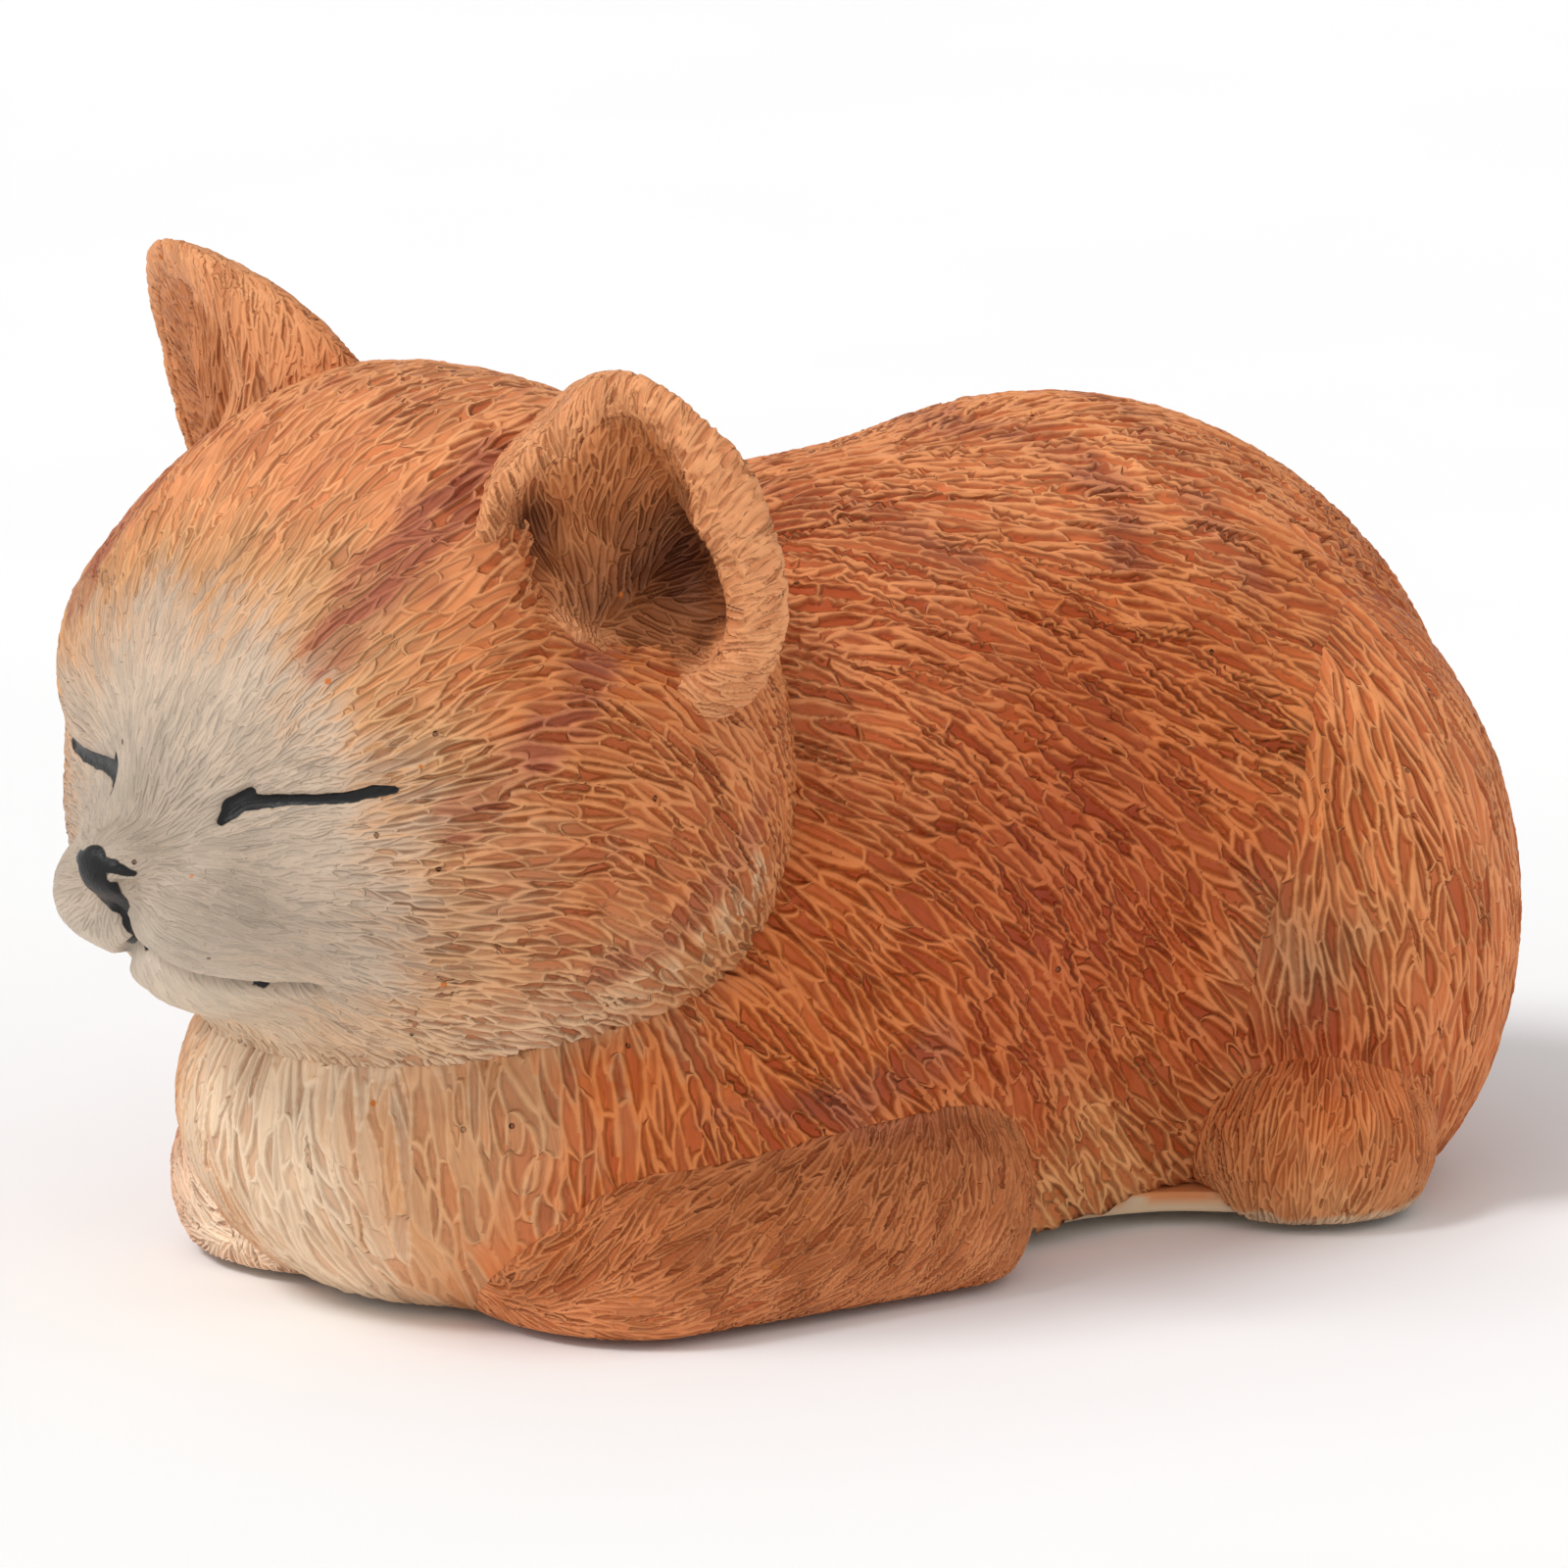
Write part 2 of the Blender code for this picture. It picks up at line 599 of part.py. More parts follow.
def build():
    for thing in list(bpy.data.objects):
        bpy.data.objects.remove(thing)
    parts = bpy.data.collections.new("sleeping_cat_statue")
    cutters = bpy.data.collections.new("cutters")
    for collection in (parts, cutters):
        bpy.context.scene.collection.children.link(collection)

    solids, rooms = build_limbs(parts, cutters)
    head = build_head("head", parts)
    head_room = build_head("head_room", cutters, CLEARANCE)
    torso = build_torso("torso", parts)
    torso_room = build_torso("torso_room", cutters, CLEARANCE)
    left_ear = build_ear("left_ear", LEFT_EAR_REACHES, parts)
    pattern = build_ear("right_ear_pattern", RIGHT_EAR_REACHES, parts)
    right_ear = mirrored(pattern, "right_ear", parts)
    bpy.data.objects.remove(pattern)
    tail = mesh_of_curve(tail_curve(), "tail", parts)

    slab_low = PAD_HEIGHT + CLEARANCE
    slab_high = slab_low + SLAB_THICKNESS
    slab_solid("base_slab", parts, 0.0, slab_low, slab_high)
    slab_room = slab_solid("base_slab_room", cutters, CLEARANCE, 0.0, slab_high + CLEARANCE)
    under = (slab_room, floor_block(cutters))
    for place, name in ((FRONT_PAD_AT, "front"), (REAR_PAD_AT, "rear")):
        for sign, side in ((1.0, "left"), (-1.0, "right")):
            pad_solid(f"foot_pad_{name}_{side}", (sign * place[0], place[1]), parts)

    limb_rooms = [room for pair in rooms.values() for room in pair]
    carve(torso, head_room, *limb_rooms, *under)
    for index in (0, 1):
        carve(solids["haunch"][index], rooms["hind_foot"][index], *under)
        carve(solids["hind_foot"][index], *under)
        carve(solids["foreleg"][index], *under)
    carve(head, *face_lines(cutters))
    carve(left_ear, head_room)
    carve(right_ear, head_room)
    carve(tail, torso_room, *rooms["haunch"], *rooms["hind_foot"], *under)

    for cutter in cutters.objects:
        cutter.hide_render = True
        cutter.display_type = "WIRE"
    for thing in parts.objects:
        coat(thing)
    centre_on_origin([*parts.objects, *cutters.objects], parts.objects)


build()
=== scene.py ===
"""Sleeping kitten figurine: painted, carved fur over its cast resin forms.

Shapes are worked out in millimetres in the sculptor's own axes: the kitten faces -Y, its left side is +X,
and the middle line of the body is x = 0. They are moved into the model's frame when a mesh is made.
"""

import math

import bpy
import numpy as np
from mathutils import Matrix, Vector


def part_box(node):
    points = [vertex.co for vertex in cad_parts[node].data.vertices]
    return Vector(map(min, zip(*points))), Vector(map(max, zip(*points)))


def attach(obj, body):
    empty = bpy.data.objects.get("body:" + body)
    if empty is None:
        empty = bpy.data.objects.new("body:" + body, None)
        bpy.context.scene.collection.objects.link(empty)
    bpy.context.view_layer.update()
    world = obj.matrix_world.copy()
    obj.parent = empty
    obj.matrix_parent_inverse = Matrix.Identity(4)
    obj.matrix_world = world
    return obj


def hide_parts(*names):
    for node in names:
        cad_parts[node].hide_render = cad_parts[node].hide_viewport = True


bl_info = {
    "name": "Sleeping kitten figurine",
    "version": (1, 0, 0),
    "blender": (4, 5, 0),
    "location": "3D View > Sidebar > Kitten",
    "description": "Builds a painted resin figurine of a sleeping kitten, piece by piece",
    "category": "Add Mesh",
}

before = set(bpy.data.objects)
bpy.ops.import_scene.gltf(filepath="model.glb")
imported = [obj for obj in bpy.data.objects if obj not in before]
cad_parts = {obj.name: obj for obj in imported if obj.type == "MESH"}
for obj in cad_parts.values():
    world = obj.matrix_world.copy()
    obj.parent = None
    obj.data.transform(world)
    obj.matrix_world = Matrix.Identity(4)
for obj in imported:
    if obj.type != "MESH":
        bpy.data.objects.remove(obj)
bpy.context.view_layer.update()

# One millimetre in the model's metres, and the sign of each side's x
MM = 0.001
SIDES = (("left", 1.0), ("right", -1.0))

# Where the front left foot pad's middle lies, and the heights of the fur's lower edge and of the slab's top
FRONT_PAD_AT = (9.5, -45.4)
GROUND = 0.6
SLAB_TOP = 2.12


def pad_middle():
    """The middle of the front left foot pad, in metres."""
    low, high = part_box("foot_pad_front_left")
    return 0.5 * (low + high)


# How far the sculptor's middle line lies from the model's origin, in millimetres
TO_FRAME = np.array([pad_middle().x / MM - FRONT_PAD_AT[0], pad_middle().y / MM - FRONT_PAD_AT[1], 0.0])

# Head, measured from the middle of the skull. A swell is a place, a height and a spread
HEAD_CENTRE = (0.0, -49.4, 33.4)
SKULL_RADII = (21.0, 20.6, 20.8)
HEAD_SWELLS = (
    ((15.5, 12.0, -11.5), 1.9, 7.5),
    ((14.5, -14.0, -8.5), 0.9, 6.0),
    ((9.5, -18.0, 6.0), 0.6, 4.5),
    ((9.5, 4.0, 18.0), 0.7, 4.5),
    ((0.0, -15.0, 13.0), -0.8, 6.0),
    ((15.4, 0.6, 11.2), -4.6, 3.6),
)

# Face, measured the same way but turned a little to the kitten's left. A form is a place, radii and a fillet
FACE_TURN = math.radians(3.8)
FACE_MIDDLE = (0.0, -0.97, -0.2)
FACE_FORMS = (
    ((0.0, -17.2, -0.4), (3.0, 4.2, 5.6), 3.5),
    ((0.0, -16.0, -6.3), (8.8, 7.6, 5.3), 4.0),
    ((0.0, -16.0, -10.8), (5.2, 5.0, 3.2), 2.0),
)
FACE_SWELLS = (
    ((8.4, -18.8, -1.0), -1.5, 4.2),
    ((14.4, -14.6, 0.6), -0.9, 4.0),
    ((14.0, -15.0, 6.4), 0.6, 3.6),
    ((12.2, -16.4, 2.6), 0.6, 2.3),
)
WHISKER_PAD_AT = (3.6, -20.1, -6.7)
WHISKER_PAD_RADII = (3.9, 4.3, 3.3)
NOSE_AT = (0.0, -23.2, -4.1)
NOSE_RADII = (2.9, 2.9, 2.1)
PADS_FILLET = 0.9
MUZZLE_FILLET = 1.6
NOSE_FILLET = 1.2

# Painted lines as turn and tilt in degrees from the middle of the skull, with half widths in degrees
EYE_INNER = (((13.0, -3.6), (14.2, -1.8), (16.6, 0.6)), (0.8, 1.7, 1.0))
EYE_LINE = (((15.4, -1.0), (19.0, -0.8), (23.0, -0.3), (28.0, 0.1), (33.5, 0.9), (38.0, 2.2), (41.6, 2.6)),
            (1.5, 1.1, 0.95, 0.9, 0.95, 1.15, 0.7))

# How the right eye's lines differ: raised and drooping in degrees, and wider in millimetres
EYE_RISE = {"left": 0.0, "right": 0.7}
EYE_DROOP = {"left": 0.0, "right": 0.19}
EYE_WIDENING = {"left": 0.0, "right": 0.14}

# The mouth: its carved crease, and the paint in its middle and at its corner
MOUTH_CREASE = ((0.0, -21.6), (3.6, -23.9), (7.6, -26.7), (13.8, -29.8), (19.0, -31.8), (26.0, -32.2))
MOUTH_PAINT = (((0.0, -21.4), (2.3, -22.7), (4.2, -24.2)), (0.7, 0.55, 0.2))
MOUTH_MARK = (((15.6, -31.0), (17.3, -31.6), (19.2, -31.6)), (0.15, 0.55, 0.15))

# Nose paint across the face and up it, in millimetres, with half widths
NOSE_WINGS = (((-2.8, -4.0), (-1.6, -3.65), (0.0, -3.6), (1.3, -3.7), (2.25, -4.05)),
              (0.18, 0.38, 0.45, 0.38, 0.18))
NOSE_MIDDLE = (((-0.2, -4.0), (-0.15, -4.7), (0.0, -5.4), (0.0, -6.2), (0.0, -6.9)),
               (1.25, 1.25, 1.45, 0.95, 0.5))
NOSTRIL = (((1.6, -4.85), (2.1, -4.8)), (0.30, 0.26))
PHILTRUM = (((0.0, -6.8), (0.0, -9.4)), (0.40, 0.3))

# How deep the face's lines are carved in, in millimetres, and how far the painted nose stands out
EYE_CUT = 0.34
MOUTH_CUT = 0.75
MOUTH_CUT_WIDTH = 0.45
LIP_CUT = 0.40
NOSTRIL_CUT = 0.55
NOSE_RISE = 0.10

# Ears: the left cup's middle from the skull's, the way its mouth faces and the way its tip rises. Reach, lift
# and rim are given at even turns from the tip, six or twelve of them. Start and end of the rim are shares of
# the way from the hollow's middle to the back's
EAR_MIDDLE = (19.1, 0.3, 15.1)
EAR_FACING = (0.48, -0.85, -0.20)
EAR_RISE = (0.04, -0.20, 0.98)
EAR_REACHES = {"left": (9.2, 8.5, 8.0, 8.0, 9.4, 11.7, 12.2, 8.4, 8.6, 9.1, 8.2, 7.9),
               "right": (11.2, 8.0, 9.2, 12.2, 6.4, 8.8)}
EAR_LIFTS = {"left": (0.0, 0.9, 0.6, 0.4, 0.0, -0.8, 0.0, 2.5, 4.0, 3.0, 0.4, -1.2),
             "right": (0.0, 0.6, 0.0, 0.0, 3.4, -2.2)}
EAR_RIMS = {"left": (2.6, 4.2, 4.8, 2.6, 1.2, 1.7), "right": (2.4, 0.9, 0.8, 1.6, 2.0, 2.6)}
EAR_RIM_HEIGHT = {"left": 0.85, "right": 0.35}
EAR_HOLLOW = {"left": 4.2, "right": 1.5}
EAR_BACK = 9.6
EAR_BACK_INWARD = 8.0
EAR_BACK_DOWN = 3.6
EAR_RIM_START = 0.45
EAR_RIM_END = 0.62

# Dents and rises in an ear's hollow: place across and up it, height, and spread both ways
EAR_DENTS = (
    ((0.6, -4.6), -1.6, (2.6, 3.0)),
    ((-6.9, -0.2), -1.8, (1.1, 2.4)),
    ((-1.8, 1.6), 1.9, (3.0, 3.0)),
    ((3.9, -7.0), -1.3, (0.9, 1.1)),
    ((4.7, -8.6), 0.5, (0.9, 1.2)),
    ((2.0, -9.6), -1.3, (0.6, 1.8)),
)

# Painted shade in the pockets of an ear's hollow: place across and up it, spread both ways, and strength
EAR_PAINTED_SHADES = (
    ((0.8, -4.0), (2.8, 3.2), 1.0),
    ((3.0, -1.6), (1.2, 2.6), 0.5),
    ((-7.0, 0.0), (1.2, 2.6), 0.95),
    ((-3.6, -5.0), (1.8, 1.2), 0.6),
    ((3.8, -6.8), (0.8, 1.0), 0.8),
    ((2.0, -9.4), (0.6, 1.8), 0.8),
)

# Light and camera: the sky's strength, each sun's direction, strength and width, and the camera's turn and
# tilt in degrees, its distance, its lens, and the place that it looks at, across and up its picture
SKY_LEVEL = 0.60
SUNS = (("window_sun", (-0.25, -0.75, 0.95), 1.60, 20.0), ("front_fill", (0.0, -1.0, 0.02), 0.65, 70.0),
        ("side_fill", (0.9, -0.25, 0.05), 0.55, 70.0))
CAMERA_TURN = 48.0
CAMERA_TILT = 13.0
CAMERA_DISTANCE = 1000.0
CAMERA_LENS = 382.5
CAMERA_AIM = (-15.706, 21.824)

# Paints of single places. The muzzle's grey is darkened as painted shade, the cheek's brown is painted shade,
# and the chin's, jaw's and chest's creams are lightened as painted light
MUZZLE_GREY_AND_SHADE = (0.40, 0.33, 0.26)
CHIN_CREAM_AND_LIGHT = (0.66, 0.56, 0.45)
CHEEK_PAINTED_SHADE = (0.40, 0.31, 0.235)
JAW_CREAM_AND_LIGHT = (0.72, 0.56, 0.39)
RUFF_SAND = (0.66, 0.42, 0.24)
CHEST_SAND = (0.60, 0.33, 0.16)
CHEST_CREAM_AND_LIGHT = (0.80, 0.61, 0.42)
LEG_BROWN = (0.46, 0.145, 0.045)
PAW_CREAM = (0.92, 0.74, 0.54)
EAR_PEACH = (0.68, 0.28, 0.115)
EAR_BROWN = {"left": (0.52, 0.18, 0.056), "right": (0.46, 0.15, 0.047)}
PAINTED_SHADE_BROWN = (0.11, 0.028, 0.009)
SPECK_ORANGE = (0.60, 0.17, 0.03)
PINHOLE_BROWN = (0.16, 0.05, 0.02)
SMEAR_ORANGE = (0.50, 0.22, 0.08)
FOAM_BLACKS = ((0.012, 0.012, 0.013), (0.035, 0.034, 0.033))
FLOOR_WHITES = ((0.95, 0.95, 0.95), (0.97, 0.97, 0.97))

# Specular level of every finish
SHINE = 0.22

# What the paint does to hollows and ridges: a darker wash in the hollows, which is also painted shade, and
# pale paint on the ridges, which is also a painted highlight
HOLLOW_WASH_AND_SHADE = (0.70, 0.43, 0.32)
RIDGE_PAINT_AND_HIGHLIGHT = (1.0, 0.47, 0.24)
RIDGE_SHARE = 0.18

# Carving: half width over half length of a gouge, the gap to a ridge in half widths at which the full depth
# is reached, the share of that depth by which the fur stands above the form, how many gouges a pixel chooses
# from, and how many cells to each side are searched for them
SLIMNESS = 0.16
FULL_DEPTH_AT = 0.9
FUR_RISE = 0.45
NEAR_GOUGES = 4
CELLS_AROUND = 3

# Height and grain of the ripple under the fur, and how many waves make up any soft noise
RIPPLE_HEIGHT = 0.05
RIPPLE_GRAIN = 1.8
NOISE_WAVES = 14

# Fur of the head, as its size on the face and how much more it is away from it
HEAD_CELL = (0.62, 0.78)
HEAD_LENGTH = (1.1, 1.0)
HEAD_WIDTH = (0.16, 0.20)
HEAD_DEPTH = (0.06, 0.26)
HEAD_WANDER = 0.14

# Fur of the smaller forms: size of a cell, then half length, half width and depth of a gouge, in millimetres
THIGH_FUR = (1.6, 2.6, 0.38, 0.34)
BACK_PAW_FUR = (0.95, 1.8, 0.25, 0.20)
FRONT_LEG_FUR = (0.95, 1.9, 0.25, 0.21)
TAIL_FUR = (1.2, 1.9, 0.34, 0.24)
EAR_FUR = (0.95, 1.6, 0.25, 0.19)

# Share of the thighs' fur depth that is cut into their meshes
THIGH_RELIEF = 0.62

# Rings and columns of the grids
BODY_GRID = (236, 420)
THIGH_GRID = (170, 320)
BACK_PAW_GRID = (130, 260)
FRONT_LEG_GRID = (210, 320)
EAR_GRID = (190, 240)
TAIL_GRID = (261, 150)

# Widths of the fillets where two forms meet
NECK_FILLET = 1.0
THIGH_FILLET = 3.5
HEEL_FILLET = 1.2
BACK_PAW_FILLET = 1.5
FRONT_LEG_FILLET = 1.6
TAIL_FILLET = 1.2
PAW_FILLET = 3.0

# Torso, legs and tail, with an ellipsoid given as its place and radii
RUMP = ((0.0, -1.0, 21.5), (22.8, 25.6, 24.4))
RIBS = ((0.0, -20.4, 21.2), (21.5, 21.6, 23.4))
CHEST = ((0.0, -40.5, 11.0), (19.2, 22.2, 13.6))
BELLY = ((0.0, -11.0, 9.0), (20.5, 33.0, 16.0))
TORSO_SWELLS = (
    ((20.0, -30.0, 20.0), 1.6, 7.0),
    ((10.7, 20.0, 28.0), 0.9, 8.0),
    ((22.0, -11.0, 10.0), -2.2, 6.0),
)
TORSO_BLEND = 6.0
TORSO_FRONT = (0.0, -40.5, 17.0)
HAUNCH = ((15.4, 7.2, 16.4), (12.3, 12.4, 18.8))
HIND_FOOT = ((21.7, 1.4, 4.3), (7.0, 7.4, 6.4))
ELBOW_AT = (17.4, -26.5, 4.6)
ELBOW_RADIUS = 6.9
WRIST_RADIUS = 6.2
WRISTS = {"left": (15.6, -46.0, 4.4), "right": (13.6, -48.8, 4.6)}
PAWS = {"left": (11.4, -48.0, 4.0), "right": (9.4, -50.6, 3.6)}
PAW_RADII = (6.6, 5.8, 5.4)
TAIL_PATH = ((3.0, 14.0, 9.5), (-3.0, 21.0, 7.6), (-13.0, 22.4, 6.0), (-22.6, 17.4, 5.2), (-28.8, 9.6, 4.8),
             (-31.0, 1.0, 4.4))
TAIL_RADII = (5.0, 3.4)
TAIL_ROUNDING = 0.86

# The slab's middle, the left half of its outline, how far past that the fur keeps clear of it, and the
# fillet where the fur meets the ground
SLAB_MIDDLE = (0.0, -10.0)
SLAB_OUTLINE = ((0.0, -49.0), (13.0, -48.0), (18.6, -40.0), (18.6, -27.0), (16.6, -15.4), (18.4, -8.2),
                (23.0, -3.4), (26.0, 0.8), (24.2, 5.4), (18.2, 11.0), (9.6, 14.8), (0.0, 16.2))
SLAB_MARGIN = 0.3
GROUND_FILLET = 0.4


class KittenSettings(bpy.types.PropertyGroup):
    """Sizes of the carving and the paints, as a maker would change them."""

    gouge_length: bpy.props.FloatProperty(
        name="Gouge length", description="Half the length of a carved fur stroke on the body, in mm",
        default=2.6, min=0.5, max=6.0)
    gouge_width: bpy.props.FloatProperty(
        name="Gouge width", description="Half the width of a carved fur stroke on the body, in mm",
        default=0.42, min=0.1, max=2.0)
    gouge_spacing: bpy.props.FloatProperty(
        name="Gouge spacing", description="Size of the patch that holds one fur stroke, in mm",
        default=1.7, min=0.5, max=6.0)
    gouge_depth: bpy.props.FloatProperty(
        name="Gouge depth", description="Depth of a carved fur stroke on the body, in mm",
        default=0.40, min=0.0, max=1.0)
    cream: bpy.props.FloatVectorProperty(
        name="Cream", description="Paint of the face", subtype="COLOR", size=3, min=0.0, max=1.0,
        default=(0.55, 0.42, 0.31))
    peach: bpy.props.FloatVectorProperty(
        name="Peach", description="Paint of the crown and the spine", subtype="COLOR", size=3, min=0.0,
        max=1.0, default=(0.84, 0.30, 0.115))
    honey: bpy.props.FloatVectorProperty(
        name="Honey", description="Paint of the cheeks' lower side", subtype="COLOR", size=3, min=0.0,
        max=1.0, default=(0.62, 0.31, 0.135))
    orange: bpy.props.FloatVectorProperty(
        name="Orange", description="Main paint of the coat", subtype="COLOR", size=3, min=0.0, max=1.0,
        default=(0.61, 0.155, 0.032))
    rust: bpy.props.FloatVectorProperty(
        name="Rust", description="Darkest paint of the flanks", subtype="COLOR", size=3, min=0.0, max=1.0,
        default=(0.44, 0.070, 0.012))
    mauve: bpy.props.FloatVectorProperty(
        name="Mauve", description="Paint of the tabby stripes", subtype="COLOR", size=3, min=0.0, max=1.0,
        default=(0.34, 0.095, 0.050))
    black: bpy.props.FloatVectorProperty(
        name="Black", description="Paint of the eyes, nose and mouth", subtype="COLOR", size=3, min=0.0,
        max=1.0, default=(0.012, 0.011, 0.011))
    resin: bpy.props.FloatVectorProperty(
        name="Resin", description="Bare resin of the foot", subtype="COLOR", size=3, min=0.0, max=1.0,
        default=(0.66, 0.50, 0.33))
    seed: bpy.props.IntProperty(
        name="Seed", description="Which of many alike layouts of strokes is carved", default=7, min=0)


def vec(*values):
    """Numbers as one array."""
    return np.array(values, dtype=float)


def dot(a, b):
    """The sum of the products along the last axis."""
    return np.sum(a * b, axis=-1)


def unit(vectors):
    """Directions at length one."""
    return vectors / np.maximum(np.linalg.norm(vectors, axis=-1, keepdims=True), 1e-9)


def flipped(points):
    """The same places seen from the kitten's other side."""
    return points * vec(-1.0, 1.0, 1.0)


def folded(points):
    """Both sides laid onto the left one."""
    return np.concatenate([np.abs(points[..., :1]), points[..., 1:]], axis=-1)


def step(low, high, values):
    """Nought below low, one above high and an S curve between them."""
    share = np.clip((values - low) / (high - low), 0.0, 1.0)
    return share * share * (3.0 - 2.0 * share)


def ellipsoid(points, centre, radii):
    """Distance to an ellipsoid: its level less one, over the level's slope."""
    scaled = (points - vec(*centre)) / vec(*radii)
    level = np.linalg.norm(scaled, axis=-1)
    slope = np.linalg.norm(scaled / vec(*radii), axis=-1)
    return level * (level - 1.0) / np.maximum(slope, 1e-9)


def round_cone(points, start, end, start_radius, end_radius):
    """Distance to a tapered limb: the gap to its middle line less the radius there."""
    span = vec(*end) - vec(*start)
    along = np.clip((points - vec(*start)) @ span / (span @ span), 0.0, 1.0)
    gap = np.linalg.norm(points - vec(*start) - along[..., None] * span, axis=-1)
    return gap - start_radius - (end_radius - start_radius) * along


def blend(first, second, width):
    """Union of two forms, with a quadratic fillet where their distances differ by less than width."""
    share = np.clip(0.5 + 0.5 * (second - first) / width, 0.0, 1.0)
    return second * (1.0 - share) + first * share - width * share * (1.0 - share)


def swell(points, centre, height, spread):
    """A bell-shaped rise: height times e to the minus half the squared gap over spread squared."""
    gap = points - vec(*centre)
    return height * np.exp(-dot(gap, gap) / (2.0 * spread ** 2))


def on_face(points):
    """Places measured from the middle of the skull along the turned face's own axes."""
    local = points - vec(*HEAD_CENTRE)
    cosine, sine = math.cos(FACE_TURN), math.sin(FACE_TURN)
    across = local[..., 0] * cosine + local[..., 1] * sine
    along = local[..., 1] * cosine - local[..., 0] * sine
    return np.stack([across, along, local[..., 2]], axis=-1)


def off_middle(points):
    """Degrees from the middle of the face, as seen from the middle of the skull."""
    return np.degrees(np.arccos(np.clip(dot(unit(on_face(points)), unit(vec(*FACE_MIDDLE))), -1.0, 1.0)))


def skull_form(points):
    """An ellipsoid less its swells, joined by fillets to the face's ellipsoids, the two whisker pads and the
    nose."""
    local = points - vec(*HEAD_CENTRE)
    form = ellipsoid(local, (0.0, 0.0, 0.0), SKULL_RADII)
    for place, height, spread in HEAD_SWELLS:
        form = form - swell(folded(local), place, height, spread)
    face = on_face(points)
    for place, height, spread in FACE_SWELLS:
        form = form - swell(folded(face), place, height, spread)
    for place, radii, width in FACE_FORMS:
        form = blend(form, ellipsoid(face, place, radii), width)
    pads = blend(ellipsoid(face, WHISKER_PAD_AT, WHISKER_PAD_RADII),
                 ellipsoid(flipped(face), WHISKER_PAD_AT, WHISKER_PAD_RADII), PADS_FILLET)
    form = blend(form, pads, MUZZLE_FILLET)
    return blend(form, ellipsoid(face, NOSE_AT, NOSE_RADII), NOSE_FILLET)


def torso_form(points):
    """Rump, ribs, belly and chest as ellipsoids joined by fillets, less the swells."""
    side = folded(points)
    form = blend(ellipsoid(points, *RUMP), ellipsoid(points, *RIBS), TORSO_BLEND)
    form = blend(form, ellipsoid(points, *BELLY), TORSO_BLEND)
    form = blend(form, ellipsoid(points, *CHEST), TORSO_BLEND)
    for place, height, spread in TORSO_SWELLS:
        form = form - swell(side, place, height, spread)
    return form


def haunch_form(points):
    """The left thigh: one ellipsoid."""
    return ellipsoid(points, *HAUNCH)


def hind_foot_form(points):
    """The left back paw: one ellipsoid."""
    return ellipsoid(points, *HIND_FOOT)


def foreleg_form(points, side):
    """A tapered forearm joined by a fillet to the paw's ellipsoid."""
    forearm = round_cone(points, ELBOW_AT, WRISTS[side], ELBOW_RADIUS, WRIST_RADIUS)
    return blend(forearm, ellipsoid(points, PAWS[side], PAW_RADII), PAW_FILLET)


def left_foreleg_form(points):
    """The left front leg."""
    return foreleg_form(points, "left")


def right_foreleg_form(points):
    """The right front leg, as if it stood on the left side."""
    return foreleg_form(points, "right")


def on_right(form):
    """A form made for the left side, standing on the right one."""
    return lambda points: form(flipped(points))


def meeting(form, neighbours):
    """The form with a fillet towards each neighbour. Past the crease it dives under the neighbour: the
    blend of both distances, plus their difference where the neighbour is the nearer."""

    def met(points):
        own = form(points)
        for other, width in neighbours:
            near = other(points)
            own = blend(own, near, width) + np.maximum(own - near, 0.0)
        return own

    return met


def open_skin(form, neighbours):
    """One on the open skin, and nought along the creases towards its neighbours."""

    def share(points):
        own = form(points)
        total = 1.0
        for other, _ in neighbours:
            total = total * step(-0.2, 0.7, other(points) - own)
        return total

    return share


def reach(form, starts, directions):
    """How far along each ray the form ends, found by halving."""
    near = np.zeros(starts.shape[:-1])
    far = np.full(starts.shape[:-1], 64.0)
    for _ in range(19):
        middle = 0.5 * (near + far)
        inside = form(starts + middle[..., None] * directions) < 0.0
        near = np.where(inside, middle, near)
        far = np.where(inside, far, middle)
    return 0.5 * (near + far)


def pole_axes(axis):
    """Three square axes whose last is the given one."""
    along = unit(vec(*axis))
    side = unit(np.cross(along, vec(0.0, 0.0, 1.0)))
    return side, np.cross(side, along), along


def skin(form, tail, nose, rings, columns, pole=(0.0, -1.0, 0.0), crowding=1.0, thinning=0.0):
    """A closed grid over a form. The turn from the nose pole and the turn about the axis give a ray from
    the line between nose and tail; the form's reach along the ray gives the point. Crowding above one
    draws the rings to the nose pole, and thinning draws the columns away from the underside: the turn
    is the column's even turn plus thinning times its cosine."""
    tail, nose = vec(*tail), vec(*nose)
    axis = nose - tail if np.linalg.norm(nose - tail) > 1e-6 else vec(*pole)
    side, up, along = pole_axes(axis)
    polar = (np.linspace(0.0, 1.0, rings + 1) ** crowding * math.pi)[:, None, None]
    even = (np.arange(columns) * 2.0 * math.pi / columns)[None, :, None]
    turn = even + thinning * np.cos(even)
    rays = np.sin(polar) * (np.cos(turn) * side + np.sin(turn) * up) + np.cos(polar) * along
    starts = tail + (0.5 + 0.5 * np.cos(polar)) * (nose - tail) + 0.0 * rays
    return starts + reach(form, starts, rays)[..., None] * rays


def normals_of(grid):
    """Outward normals: the cross product of the grid's two differences, pointing away from the middle."""
    down = np.gradient(grid, axis=0)
    across = np.roll(grid, -1, axis=1) - np.roll(grid, 1, axis=1)
    normals = np.cross(down, across)
    normals[0] = np.mean(normals[1], axis=0)
    normals[-1] = np.mean(normals[-2], axis=0)
    normals = unit(normals)
    outward = dot(normals, grid - grid.mean(axis=(0, 1))).mean()
    return normals if outward > 0.0 else -normals


